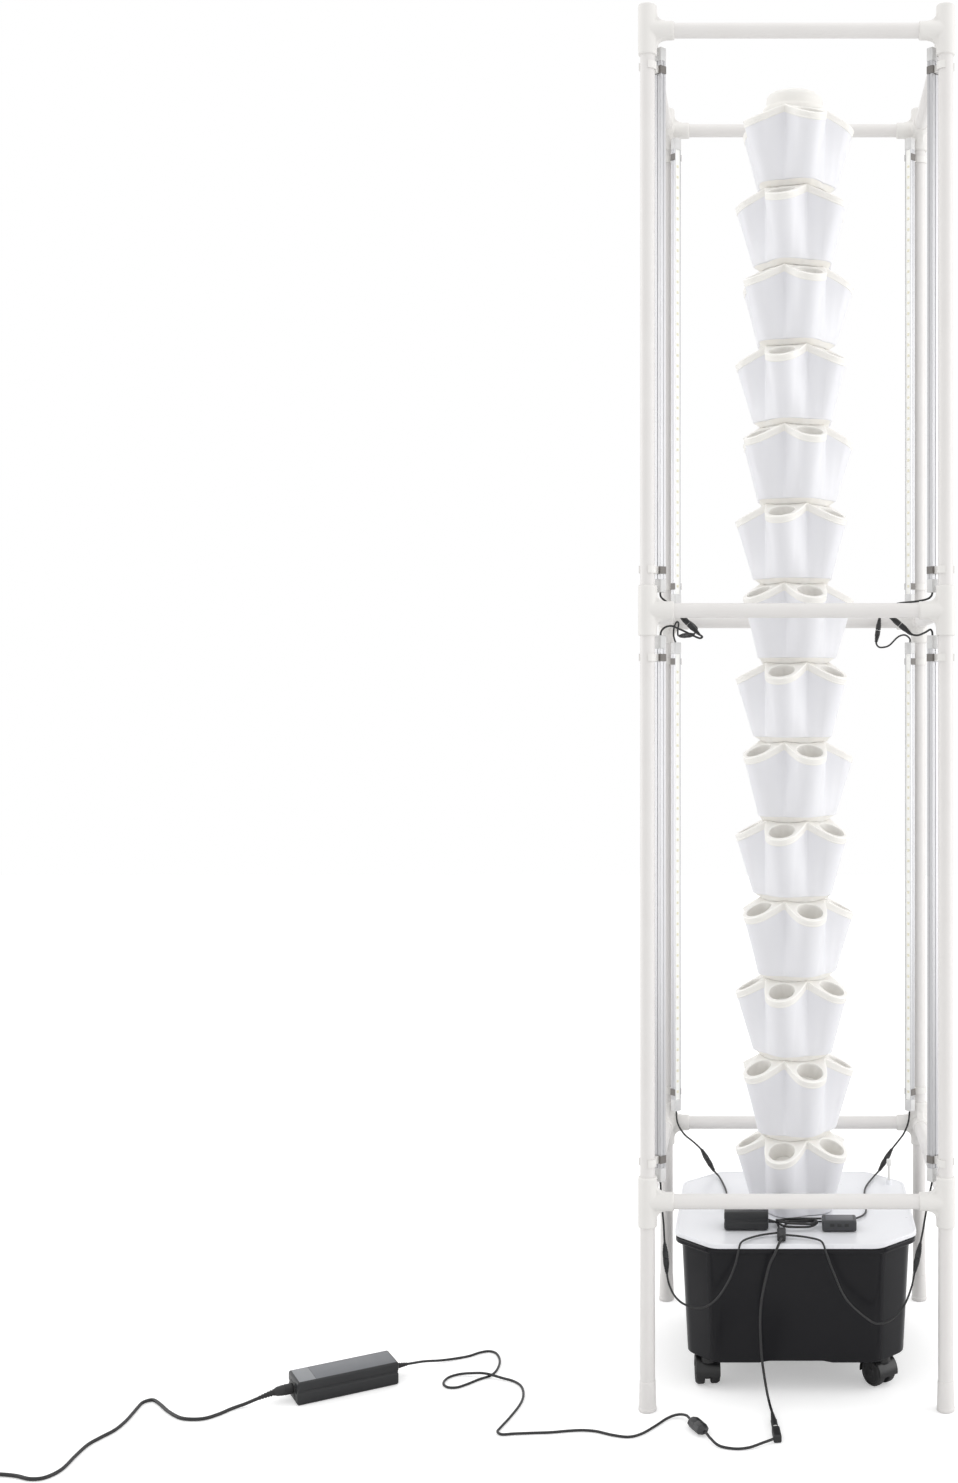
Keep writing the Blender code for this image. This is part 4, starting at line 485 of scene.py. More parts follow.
LOWER_BAR_HEADS = {
    "front_left": [
        (-0.184, -0.184, 1.038), (-0.1825, -0.1825, 1.046), (-0.177, -0.1795, 1.0515),
        (-0.169, -0.177, 1.053), (-0.161, -0.1755, 1.05), (-0.15, -0.175, 1.045), (-0.139, -0.175, 1.0395),
        (-0.131, -0.175, 1.0365), (-0.1277, -0.175, 1.0385), (-0.1321, -0.175, 1.0421),
        (-0.1391, -0.175, 1.0491), (-0.146, -0.175, 1.056),
    ],
    "front_right": [
        (0.184, -0.184, 1.038), (0.1835, -0.1828, 1.045), (0.181, -0.1805, 1.048), (0.175, -0.1775, 1.0445),
        (0.165, -0.1755, 1.0405), (0.156, -0.175, 1.042), (0.1485, -0.175, 1.0483),
        (0.1409, -0.175, 1.0547),
    ],
    "back_left": [
        (-0.184, 0.184, 1.038), (-0.1868, 0.183, 1.046), (-0.188, 0.1818, 1.054), (-0.1868, 0.1808, 1.064),
        (-0.183, 0.1808, 1.072), (-0.18, 0.1835, 1.07), (-0.1812, 0.184, 1.06), (-0.181, 0.1818, 1.052),
        (-0.1779, 0.1776, 1.05), (-0.172, 0.1696, 1.0502), (-0.1662, 0.1618, 1.0505),
    ],
    "back_right": [
        (0.184, 0.184, 1.038), (0.184, 0.1832, 1.0455), (0.1775, 0.1795, 1.051), (0.1705, 0.177, 1.051),
        (0.163, 0.1757, 1.047), (0.152, 0.175, 1.036), (0.144, 0.175, 1.0325), (0.135, 0.175, 1.0325),
        (0.1306, 0.175, 1.0385), (0.1318, 0.175, 1.0485), (0.1333, 0.175, 1.0586),
    ],
}
BRANCHES = {
    "front_left": [
        (-0.177, -0.178, 0.1962), (-0.1762, -0.178, 0.1865), (-0.1755, -0.178, 0.1766),
        (-0.1725, -0.178, 0.161), (-0.164, -0.178, 0.144), (-0.15, -0.178, 0.133), (-0.128, -0.178, 0.129),
        (-0.109, -0.178, 0.14), (-0.093, -0.178, 0.163), (-0.083, -0.178, 0.187), (-0.0785, -0.177, 0.206),
        (-0.0755, -0.1715, 0.2145), (-0.069, -0.16, 0.2155), (-0.058, -0.146, 0.2145),
        (-0.044, -0.138, 0.215), (-0.023, -0.135, 0.2168),
    ],
    "front_right": [
        (0.1641, -0.178, 0.1967), (0.1622, -0.178, 0.1872), (0.1603, -0.178, 0.1774),
        (0.156, -0.178, 0.157), (0.1465, -0.178, 0.133), (0.132, -0.178, 0.115), (0.115, -0.178, 0.108),
        (0.099, -0.178, 0.112), (0.068, -0.178, 0.14), (0.05, -0.178, 0.178), (0.041, -0.1775, 0.202),
        (0.036, -0.1718, 0.2145), (0.03, -0.161, 0.2155), (0.019, -0.15, 0.2145), (0.005, -0.145, 0.215),
        (-0.017, -0.144, 0.2168),
    ],
    "back_left": [
        (-0.1328, 0.1559, 0.2326), (-0.1277, 0.1511, 0.2256), (-0.1226, 0.1464, 0.2187),
        (-0.114, 0.13, 0.2142), (-0.106, 0.09, 0.2138), (-0.101, 0.053, 0.2138), (-0.1, 0.01, 0.2138),
        (-0.099, -0.028, 0.2138), (-0.086, -0.054, 0.2138), (-0.062, -0.067, 0.2138),
        (-0.04, -0.07, 0.2136), (-0.027, -0.082, 0.2134), (-0.0238, -0.1, 0.2134), (-0.0232, -0.116, 0.214),
        (-0.023, -0.129, 0.2168),
    ],
    "back_right": [
        (0.1438, 0.1584, 0.2326), (0.1386, 0.1542, 0.2255), (0.1332, 0.15, 0.2182), (0.124, 0.133, 0.2142),
        (0.11, 0.087, 0.2138), (0.105, 0.05, 0.2138), (0.104, 0.0, 0.2138), (0.1, -0.045, 0.2138),
        (0.08, -0.07, 0.2138), (0.052, -0.0785, 0.2138), (0.02, -0.079, 0.2136), (-0.004, -0.08, 0.2134),
        (-0.0145, -0.092, 0.2134), (-0.0168, -0.114, 0.2138), (-0.017, -0.129, 0.2168),
    ],
}


def rgb(values):
    """A colour as the screen shows it, from 0 to 255, turned into Blender's linear values."""
    linear = [((value / 255.0 + SCREEN_FOOT) / (1.0 + SCREEN_FOOT)) ** SCREEN_POWER for value in values]
    return (*linear, 1.0)


def fill(node, values):
    """Sets inputs of a shader node by their names or numbers."""
    for name, value in values.items():
        node.inputs[name].default_value = value


def new_look(name):
    """A new material, with its nodes, links and shader."""
    look = bpy.data.materials.new(name)
    look.use_nodes = True
    nodes = look.node_tree.nodes
    return look, nodes, look.node_tree.links, nodes["Principled BSDF"]


def surface(name, colour, other, roughness, mottle=18.0, grain=900.0, depth=0.00004,
            metallic=0.0, stretch=(1.0, 1.0, 1.0), gloss_level=0.5, translucence=0.0):
    """A procedural finish: two near colours in soft patches, uneven gloss and a fine grain."""
    look, nodes, links, shader = new_look(name)
    fill(shader, {
        "Metallic": metallic, "Specular IOR Level": gloss_level, "Subsurface Weight": translucence,
        "Subsurface Radius": (1.0, 1.0, 1.0), "Subsurface Scale": SCATTER_DEPTH,
    })
    where = nodes.new("ShaderNodeTexCoord")
    along = nodes.new("ShaderNodeMapping")
    fill(along, {"Scale": stretch})
    links.new(where.outputs["Object"], along.inputs["Vector"])

    def noise(scale, detail):
        texture = nodes.new("ShaderNodeTexNoise")
        fill(texture, {"Scale": scale, "Detail": detail})
        links.new(along.outputs["Vector"], texture.inputs["Vector"])
        return texture.outputs["Fac"]

    tint = nodes.new("ShaderNodeMix")
    tint.data_type = "RGBA"
    fill(tint, {6: rgb(colour), 7: rgb(other)})
    links.new(noise(mottle, PATCH_DETAIL), tint.inputs["Factor"])
    links.new(tint.outputs[2], shader.inputs["Base Color"])

    gloss = nodes.new("ShaderNodeMapRange")
    fill(gloss, {"To Min": roughness - GLOSS_SPREAD, "To Max": roughness + GLOSS_SPREAD})
    links.new(noise(mottle * SMEARS_PER_PATCH, SMEAR_DETAIL), gloss.inputs["Value"])
    links.new(gloss.outputs["Result"], shader.inputs["Roughness"])

    bump = nodes.new("ShaderNodeBump")
    fill(bump, {"Distance": depth, "Strength": BUMP_STRENGTH})
    links.new(noise(grain, GRAIN_DETAIL), bump.inputs["Height"])
    links.new(bump.outputs["Normal"], shader.inputs["Normal"])
    return look


def at(x=0.0, y=0.0, z=0.0):
    """A shift along the axes."""
    return Matrix.Translation((x, y, z))


def spun(angle, axis="Z"):
    """A turn about an axis."""
    return Matrix.Rotation(angle, 4, axis)


def angles_round(count):
    return [FULL_TURN * k / count for k in range(count)]


def bent(start, corner, end, t):
    """A point on the short curve that turns a corner."""
    return start * (1.0 - t) ** 2 + corner * (2.0 * t * (1.0 - t)) + end * t * t


def rounded(points, radius, steps=CURVE_POINTS, closed=False):
    """A polyline whose inner corners are each turned into a short curve."""
    result = []
    for i, point in enumerate(points):
        here = Vector(point)
        if not closed and i in (0, len(points) - 1):
            result.append(here)
            continue
        before = Vector(points[i - 1]) - here
        after = Vector(points[(i + 1) % len(points)]) - here
        cut = min(radius, before.length * CURVE_SHARE, after.length * CURVE_SHARE)
        start, end = here + before.normalized() * cut, here + after.normalized() * cut
        result += [bent(start, here, end, k / steps) for k in range(steps + 1)]
    return result


def skin(bm, rows, finish=0):
    """Faces between closed rows of as many points each. It returns the rows' vertices."""
    loops = [[bm.verts.new(point) for point in row] for row in rows]
    for low, high in zip(loops, loops[1:]):
        for i in range(len(low)):
            j = (i + 1) % len(low)
            bm.faces.new((low[i], low[j], high[j], high[i])).material_index = finish
    return loops


def finished(bm, name, place=Matrix()):
    """A mesh with welded points, no faces without area and all faces turned outward."""
    bmesh.ops.remove_doubles(bm, verts=bm.verts, dist=WELD)
    bmesh.ops.dissolve_degenerate(bm, edges=bm.edges, dist=WELD)
    bmesh.ops.recalc_face_normals(bm, faces=bm.faces)
    mesh = bpy.data.meshes.new(name)
    bm.to_mesh(mesh)
    bm.free()
    mesh.transform(place)
    return mesh


def capped(name, rows, finish=0, place=Matrix()):
    """A skin over rows of points, closed with a face on the first and the last row."""
    bm = bmesh.new()
    loops = skin(bm, rows, finish)
    for loop in (loops[0], loops[-1]):
        bm.faces.new(loop).material_index = finish
    return finished(bm, name, place)


def extruded(name, outline, low, high, finish=0):
    """A closed outline of (x, y) points drawn up from one height to another."""
    return capped(name, [[(x, y, z) for x, y in outline] for z in (low, high)], finish)


def turned(name, profile, sides=PIPE_SIDES, place=Matrix()):
    """A profile of (radius, height) points turned about Z."""
    bm = bmesh.new()
    skin(bm, [[(radius * math.cos(angle), radius * math.sin(angle), height) for angle in angles_round(sides)]
              for radius, height in profile])
    return finished(bm, name, place)


def drum(name, radius, low, high, sides=PIPE_SIDES, place=Matrix(), edge=0.0, steps=CURVE_POINTS):
    """A round bar along Z from one height to another."""
    profile = [(0.0, low), (radius, low), (radius, high), (0.0, high)]
    return turned(name, rounded(profile, edge, steps) if edge else profile, sides, place)


def block(kind, size, place=Matrix()):
    """A box about its centre with rounded edges."""
    radius, steps = BOX_EDGES[kind]
    bm = bmesh.new()
    bmesh.ops.create_cube(bm, size=1.0)
    bmesh.ops.scale(bm, vec=size, verts=bm.verts)
    bmesh.ops.bevel(bm, geom=bm.edges[:], offset=radius, segments=steps, profile=0.5, affect="EDGES")
    return finished(bm, kind, place)


def joined(name, meshes):
    """Several closed meshes in one, with their material numbers kept."""
    bm = bmesh.new()
    for mesh in meshes:
        bm.from_mesh(mesh)
    result = bpy.data.meshes.new(name)
    bm.to_mesh(result)
    bm.free()
    return result


def runs_along(points):
    """Each point's distance from the first, along the line."""
    runs = [0.0]
    for a, b in zip(points, points[1:]):
        runs.append(runs[-1] + (b - a).length)
    return runs


def swept(name, points, shape, sides, flat):
    """A tube along points. Shape is (distance, radius) pairs, and flat is height over width."""
    runs = runs_along(points)
    rows = []
    for distance, radius in shape:
        k = max(0, min(len(points) - 2, sum(1 for run in runs if run <= distance) - 1))
        ahead = (points[k + 1] - points[k]).normalized()
        centre = points[k] + ahead * (distance - runs[k])
        side = ahead.cross(Vector((0.0, 0.0, 1.0)))
        side = side.normalized() if side.length > UPRIGHT_LIMIT else Vector((1.0, 0.0, 0.0))
        up = side.cross(ahead)
        rows.append([centre + (side * math.cos(angle) * radius + up * math.sin(angle) * radius * flat)
                     for angle in angles_round(sides)])
    return capped(name, rows)


def linked(name, data):
    """A new object in the scene."""
    obj = bpy.data.objects.new(name, data)
    bpy.context.scene.collection.objects.link(obj)
    return obj


def add(name, data, looks, slot, *nodes, place=None, body=STAND, sharp=SHARP_DEGREES):
    """One visible piece, which rides on a body and stands for CAD nodes."""
    for look in looks:
        if look.name not in data.materials:
            data.materials.append(look)
    if isinstance(data, bpy.types.Mesh):
        data.shade_smooth()
        data.set_sharp_from_angle(angle=math.radians(sharp))
    obj = linked(name, data)
    if place is not None:
        obj.matrix_world = place
    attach(obj, body)
    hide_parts(*nodes)
    return obj


def smooth_route(route):
    """Points on a smooth curve through the route's own points."""
    knots = [Vector(point) for point in route]
    knots = [knots[0] * 2.0 - knots[1]] + knots + [knots[-1] * 2.0 - knots[-2]]
    points = []
    for a, b, c, d in zip(knots, knots[1:], knots[2:], knots[3:]):
        for k in range(ROUTE_STEPS):
            t = k / ROUTE_STEPS
            points.append(0.5 * (
                b * 2.0 + (c - a) * t + (a * 2.0 - b * 5.0 + c * 4.0 - d) * t * t
                + (b * 3.0 - a - c * 3.0 + d) * t * t * t
            ))
    points.append(knots[-2])
    return points


def cord_data(name, points, radius):
    """A round cord on one open line."""
    data = bpy.data.curves.new(name, "CURVE")
    data.dimensions = "3D"
    data.bevel_depth = radius
    data.bevel_resolution = CORD_BEVEL_STEPS
    data.use_fill_caps = True
    line = data.splines.new("POLY")
    line.points.add(len(points) - 1)
    for knot, point in zip(line.points, points):
        knot.co = (*point, 1.0)
    return data


def add_cord(name, points, radius, *nodes):
    return add(name, cord_data(name, points, radius), [cord_black], "cord_black", *nodes)


def add_sleeve(name, points, shape, sides, node, look, flat=1.0, sharp=RIB_SHARP_DEGREES):
    """A moulded part round a cord, such as a connector or a strain relief."""
    mesh = swept(name, points, shape, sides, flat)
    return add(name, mesh, [look], "cord_black", node, sharp=sharp)


def ribbed(start, end, thick, thin, ribs):
    """Distance and radius along a tapering strain relief with ribs."""
    shape = []
    step = (end - start) / ribs
    for k in range(ribs):
        here = start + step * k
        radius = thick + (thin - thick) * k / ribs
        after = thick + (thin - thick) * (k + 1) / ribs
        shape += [(here, radius), (here + step * RIB_LAND, radius)]
        shape += [(here + step * share, after * RIB_NECK) for share in RIB_NECK_SHARES]
    shape.append((end, thin))
    return shape


def flat_spiral(centre, middle_radius, run, start_angle, cord_radius, turns_in, turns_out, floor):
    """Clockwise loops that spiral in on one layer, climb in half a turn and spiral out on the next.

    Run is how much longer the loops are along X than across.
    """
    total = turns_in + COIL_CLIMB + turns_out
    steps = round(total * COIL_POINTS)
    low = floor + cord_radius + GAP
    points = []
    for k in range(steps + 1):
        turn = total * k / steps
        if turn <= turns_in:
            inward, layer = turn, 0.0
        elif turn <= turns_in + COIL_CLIMB:
            share = (turn - turns_in) / COIL_CLIMB
            dip = COIL_CLIMB / 2.0 * math.sin(math.pi * share)
            inward, layer = turns_in + dip, (1.0 - math.cos(math.pi * share)) / 2.0
        else:
            inward, layer = turns_in - (turn - turns_in - COIL_CLIMB), 1.0
        radius = middle_radius + COIL_PITCH_IN_CORDS * cord_radius * (turns_in / 2.0 - inward)
        angle = start_angle - FULL_TURN * turn
        reach = math.cos(angle)
        stretch = run / 2.0 * math.copysign(abs(reach) ** BUNDLE_END_POWER, reach)
        x, y = centre[0] + stretch + radius * reach, centre[1] + radius * math.sin(angle)
        points.append(Vector((x, y, low + layer * (cord_radius * 2.0 + GAP * 2.0))))
    return points


def azimuth_point(radius, angle):
    return Vector((radius * math.cos(angle), radius * math.sin(angle)))


def pot_row(centre, radius, stretch, valley, height_of):
    """One pot's outline about +X, from the middle of one rounded valley to the next."""
    corner = azimuth_point(valley, POT_HALF_ANGLE)
    away = Vector((corner.x - centre, corner.y))
    reach = math.atan2(away.y, away.x) - math.acos(radius / away.length)
    half = []
    for k in range(LOBE_STEPS + 1):
        angle = reach * k / LOBE_STEPS
        half.append(Vector((centre + radius * stretch * math.cos(angle), radius * math.sin(angle))))
    last = half[-1]
    back = (last - corner).normalized() * VALLEY_ROUND
    start = corner + back
    across = azimuth_point(1.0, POT_HALF_ANGLE)
    end = corner + across * (2.0 * back.dot(across)) - back
    outward = Vector((-back.y, back.x)).normalized()
    for k in range(1, WEB_STEPS):
        share = k / WEB_STEPS
        half.append(last.lerp(start, share) + outward * WEB_BULGE * 4.0 * share * (1.0 - share))
    half += [bent(start, corner, end, t) for t in VALLEY_SHARES]
    outline = [Vector((point.x, -point.y)) for point in reversed(half[1:])] + half
    return [Vector((point.x, point.y, height_of(point.x))) for point in outline]


def base_row(height, inset):
    """A level row of the pots' outlines near the module's bottom."""
    centre = RIM_CENTRE_RADIUS - (RIM_HEIGHT - height) * math.tan(POT_LEAN)
    valley = VALLEY_RADIUS - inset * VALLEY_OFFSET_SHARE
    return pot_row(centre, POT_RADIUS - inset, 1.0 / math.cos(POT_LEAN), valley, lambda x: height)


def rim_plane(down):
    """Centre and height of the leaning plane that lies this far down the pot's own axis."""
    centre = RIM_CENTRE_RADIUS - down * math.sin(POT_LEAN)
    height = RIM_HEIGHT - down * math.cos(POT_LEAN)
    return centre, lambda x: height - (x - centre) * math.tan(RIM_LEAN)


def rim_row(down, grow, valley_grow=0.0):
    """A row of the pots' outlines in a leaning plane, wider than the pot by grow."""
    centre, height_of = rim_plane(down)
    return pot_row(centre, POT_RADIUS + grow, math.cos(RIM_LEAN), VALLEY_RADIUS + valley_grow, height_of)


def mouth_row(down, radius, angles):
    """A round hole in the leaning plane this far down, with a point at each angle."""
    centre, height_of = rim_plane(down)
    row = []
    for angle in angles:
        x = centre + radius * math.cos(angle) * math.cos(RIM_LEAN)
        row.append(Vector((x, radius * math.sin(angle), height_of(x))))
    return row


def neck_points(radius, height_of):
    """The part of the round neck behind one pot, from valley to valley."""
    points = []
    for k in range(NECK_STEPS + 1):
        flat = azimuth_point(radius, POT_HALF_ANGLE * (2.0 * k / NECK_STEPS - 1.0))
        points.append(Vector((*flat, height_of(flat.x))))
    return points


def round_row(row, radius, height):
    """A level circle with a point in the direction of each point of a row."""
    return [Vector((*azimuth_point(radius, math.atan2(p.y, p.x)), height)) for p in row]


def between(low, high):
    """Rows that divide the wall from one row to another."""
    return [[a.lerp(b, k / WALL_ROWS) for a, b in zip(low, high)] for k in range(1, WALL_ROWS)]


def at_each_pot(row):
    """A row's points at each of the five pots in turn."""
    return [[Matrix.Rotation(angle, 3, "Z") @ point for point in row] for angle in angles_round(POT_COUNT)]


def all_pots(row):
    """One row round all pots, without the point that the next pot repeats."""
    return sum(at_each_pot(row[:-1]), [])


def crown(bm, outer, neck, down, mouth_radius, finish):
    """The leaning top of each pot between its outline, its round mouth and the neck."""
    corners = [neck[-1].lerp(outer[-1], 1.0 - share) for share in THIRDS]
    back = [neck[0].lerp(outer[0], share) for share in THIRDS]
    boundary = outer + corners + neck[::-1] + back
    centre = rim_plane(down)[0]
    angles = [math.atan2(point.y, (point.x - centre) / math.cos(RIM_LEAN)) for point in boundary]
    hole = mouth_row(down, mouth_radius, angles)
    for rows in zip(at_each_pot(boundary), at_each_pot(hole)):
        skin(bm, rows, finish)
    return angles


def mouths(bm, edge_angles, cup_angles):
    """Each pot's rounded mouth and the open cup below it, up to the crown's underside."""
    rows = []
    for step in range(MOUTH_STEPS + 1):
        angle = QUARTER * step / MOUTH_STEPS
        radius = MOUTH_RADIUS + MOUTH_ROUND * (1.0 - math.sin(angle))
        rows.append(mouth_row(MOUTH_ROUND * (1.0 - math.cos(angle)), radius, edge_angles))
    for down, radius in (
        (CUP_DEPTH, MOUTH_RADIUS - CUP_TAPER), (CUP_DEPTH, CUP_HOLE_RADIUS),
        (CUP_DEPTH + CUP_WALL, CUP_HOLE_RADIUS), (CUP_DEPTH + CUP_WALL, CUP_RADIUS - CUP_TAPER),
        (PLANTER_WALL, CUP_RADIUS),
    ):
        rows.append(mouth_row(down, radius, cup_angles))
    # The mouths and cup insides take the brighter lip finish as painted light, which lifts the shade inside
    # the cups.
    for pot_rows in zip(*[at_each_pot(row) for row in rows]):
        skin(bm, pot_rows, 1)


def neck_shell(bm, neck, inner_neck):
    """The neck, its top with the spigot for the next module, and the deck with its drain hole."""
    top = MODULE_PITCH - GAP
    shell = [neck]
    for radius, height in (
        (NECK_RADIUS, top), (SPIGOT_RADIUS, top), (SPIGOT_RADIUS, top + SPIGOT_HEIGHT),
        (DECK_HOLE_RADIUS, top + SPIGOT_HEIGHT), (DECK_HOLE_RADIUS, top - DECK_THICKNESS),
        (NECK_RADIUS - PLANTER_WALL, top - DECK_THICKNESS),
    ):
        shell.append(neck_points(radius, lambda x, level=height: level))
    shell.append(inner_neck)
    # The neck, spigot and deck take the brighter lip finish as painted light, which lifts the shade in the
    # gap between modules.
    skin(bm, [all_pots(row) for row in shell], 1)


def planter_mesh(tuck):
    """A hollow module of five leaning pots with lipped rims, one closed surface.

    Tuck is how far its underside tapers down round the neck of the module below.
    """
    bm = bmesh.new()
    bottom = [base_row(height, inset) for height, inset in BOTTOM_ROWS]
    shoulder = rim_row(LIP_HEIGHT, 0.0)
    skin(bm, [all_pots(row) for row in bottom + between(bottom[-1], shoulder) + [shoulder]])
    lip = [rim_row(down, grow) for down, grow in LIP_ROWS]
    skin(bm, [all_pots(row) for row in lip], 1)

    neck = neck_points(NECK_RADIUS, rim_plane(0.0)[1])
    edge_angles = crown(bm, lip[-1], neck, 0.0, MOUTH_RADIUS + MOUTH_ROUND, 1)
    inner_rim = rim_row(PLANTER_WALL, -PLANTER_WALL, -PLANTER_WALL * VALLEY_OFFSET_SHARE)
    inner_neck = neck_points(NECK_RADIUS - PLANTER_WALL, rim_plane(PLANTER_WALL)[1])
    cup_angles = crown(bm, inner_rim, inner_neck, PLANTER_WALL, CUP_RADIUS, 0)
    mouths(bm, edge_angles, cup_angles)
    neck_shell(bm, neck, inner_neck)

    pot_floor = base_row(POT_FLOOR, PLANTER_WALL)
    inside = [all_pots(row) for row in [inner_rim] + between(inner_rim, pot_floor) + [pot_floor]]
    skin(bm, inside)
    bore = SPIGOT_RADIUS + GAP
    bore_low = round_row(inside[-1], bore, 0.0)
    skin(bm, [inside[-1], round_row(inside[-1], bore, POT_FLOOR), bore_low])
    under = [all_pots(bottom[0])]
    if tuck:
        inner = TUCK_RADIUS - CUP_WALL
        under += [round_row(under[0], *row) for row in ((TUCK_RADIUS, -tuck), (inner, -tuck), (inner, 0.0))]
    # The underside and its tuck take the brighter lip finish as painted light, which lifts the shade on these
    # downward faces.
    skin(bm, [bore_low] + under[::-1], 1)
    return finished(bm, "planter")


def build_planters():
    lowest, upper = planter_mesh(0.0), planter_mesh(TUCK_DEPTH)
    for number in range(1, MODULE_COUNT + 1):
        turn = FIRST_POT_AZIMUTH + (number - 1) % 2 * POT_HALF_ANGLE
        place = at(z=LID_TOP + GAP + (number - 1) * MODULE_PITCH) @ spun(turn)
        add(f"planter_shell_{number:02d}", lowest if number == 1 else upper, [planter_white, lip_cream_and_painted_light],
            "planter_white", f"planter_module_{number:02d}", place=place, sharp=PLANTER_SHARP_DEGREES)


def build_cap():
    inner, ceiling = CAP_RADIUS - CAP_WALL, CAP_HEIGHT - CAP_WALL
    dome = rounded([(0.0, CAP_HEIGHT), (CAP_RADIUS, CAP_HEIGHT), (CAP_RADIUS, 0.0)], CAP_ROUND, CAP_STEPS)
    rim = rounded([dome[-2], (CAP_RADIUS, 0.0), (inner, 0.0), (inner, CAP_RIM)], CAP_RIM_ROUND)
    inside = rounded([(inner, CAP_INSIDE), (inner, ceiling), (0.0, ceiling)], CAP_INSIDE_ROUND, MORE_POINTS)
    place = at(z=LID_TOP + GAP + MODULE_COUNT * MODULE_PITCH)
    mesh = turned("cap", dome[:-1] + rim + inside, CAP_SIDES, place)
    add("cap_dome", mesh, [lip_cream_and_painted_light], "planter_white", "top_cap", body="cap")


def gusset(side, place):
    """The curved web in the corner between barrel and socket."""
    reach, high = BARREL_RADIUS + GUSSET_REACH, SOCKET_RADIUS + GUSSET_REACH
    outline = [(GUSSET_ROOT, 0.0), (reach, 0.0)]
    for k in range(GUSSET_STEPS + 1):
        angle = QUARTER * k / GUSSET_STEPS
        outline.append((reach - GUSSET_REACH * math.sin(angle), high - GUSSET_REACH * math.cos(angle)))
    outline.append((GUSSET_ROOT, high))
    half = GUSSET_WIDTH / 2.0
    return capped("gusset", [[(x, y, z * side) for x, z in outline] for y in (-half, half)], place=place)


def fitting_mesh(edge):
    """A corner fitting: an upright barrel with a socket along +X and one along +Y, filleted together."""
    tools = [drum("barrel", BARREL_RADIUS, -BARREL_HALF_HEIGHT, BARREL_HALF_HEIGHT, FITTING_SIDES, edge=edge)]
    for turn in (spun(0.0), spun(QUARTER)):
        tools.append(drum("socket", SOCKET_RADIUS, 0.0, SOCKET_REACH, FITTING_SIDES,
                          turn @ spun(QUARTER, "Y"), FITTING_ROUND))
        tools += [gusset(side, turn) for side in (-1.0, 1.0)]
    obj = linked("fitting", joined("fitting", tools))
    shell = obj.modifiers.new("Remesh", "REMESH")
    shell.mode = "VOXEL"
    shell.voxel_size = FITTING_VOXEL
    soften = obj.modifiers.new("Smooth", "SMOOTH")
    soften.factor = FITTING_SOFTENING
    soften.iterations = FITTING_SOFTENING_TIMES
    mesh = bpy.data.meshes.new_from_object(obj.evaluated_get(bpy.context.evaluated_depsgraph_get()))
    mesh.materials.clear()
    bpy.data.objects.remove(obj)
    return mesh


def build_frame():
    """Four legs, each with its foot and three fittings, and the rails between them."""
    half = FRAME_SPACING / 2.0
    middle_fitting, top_fitting = fitting_mesh(FITTING_ROUND), fitting_mesh(FITTING_TOP_ROUND)
    pipe = drum("leg", PIPE_RADIUS, PIPE_BOTTOM, LEVELS["upper"])
    foot = turned("foot", [(0.0, 0.0)] + rounded(FOOT_PROFILE, FOOT_ROUND) + [(0.0, FOOT_TOP_CENTRE)])
    for name, (x_side, y_side) in CORNERS.items():
        corner = at(x_side * half, y_side * half)
        node = f"frame_post_{name}"
        add(f"leg_pipe_{name}", pipe, [pipe_white], "frame_white", node, place=corner)
        add(f"leg_foot_{name}", foot, [pipe_white], "frame_white", node, place=corner)
        for level_name, level in LEVELS.items():
            mesh = top_fitting if level_name == "upper" else middle_fitting
            here = corner @ at(z=level) @ spun(QUARTER * CORNER_QUARTERS[name])
            add(f"fitting_{level_name}_{name}", mesh, [fitting_white], "frame_white", node, place=here)
    reach = half - SOCKET_REACH + RAIL_ENTRY
    rail = drum("rail", PIPE_RADIUS, -reach, reach)
    for level_name, level in LEVELS.items():
        for side, (x, y, axis) in RAIL_SIDES.items():
            tag = f"{level_name}_{side}"
            place = at(x * half, y * half, level) @ spun(QUARTER, axis)
            add(f"rail_pipe_{tag}", rail, [pipe_white], "frame_white", f"frame_rail_{tag}", place=place)


def channel_outline():
    """The aluminium bar's section: a grooved U, open toward the tower along +X."""
    x, y = BAR_DEPTH / 2.0, BAR_WIDTH / 2.0
    wall, deep, half = BAR_WALL, SIDE_GROOVE_DEPTH, SIDE_GROOVE_HALF
    return [
        (x, -y), (x, -y + wall), (x - BAR_GROOVE, -y + wall), (x - BAR_GROOVE, y - wall), (x, y - wall),
        (x, y),
        (half, y), (half, y - deep), (-half, y - deep), (-half, y),
        (-x, y), (-x, half), (-x + BACK_GROOVE_DEPTH, half), (-x + BACK_GROOVE_DEPTH, -half), (-x, -half),
        (-x, -y), (-half, -y), (-half, -y + deep), (half, -y + deep), (half, -y),
    ]


def strip_mesh(low, high):
    """The lit board in the bar's groove, with its row of small square lights."""
    x, y = BAR_DEPTH / 2.0, BAR_WIDTH / 2.0 - BAR_WALL
    back, front = x - BAR_GROOVE, x - BOARD_RECESS
    parts = [extruded("board", [(back, -y), (back, y), (front, y), (front, -y)], low, high)]
    for k in range(round((high - low) / LED_SPACING) - 1):
        spot = at(x - LED_RECESS, 0.0, low + LED_SPACING * (k + LED_START_SHARE))
        led = block("led", (LED_HEIGHT, LED_SIZE, LED_SIZE), spot)
        for face in led.polygons:
            face.material_index = 1
        parts.append(led)
    return joined("strip", parts)


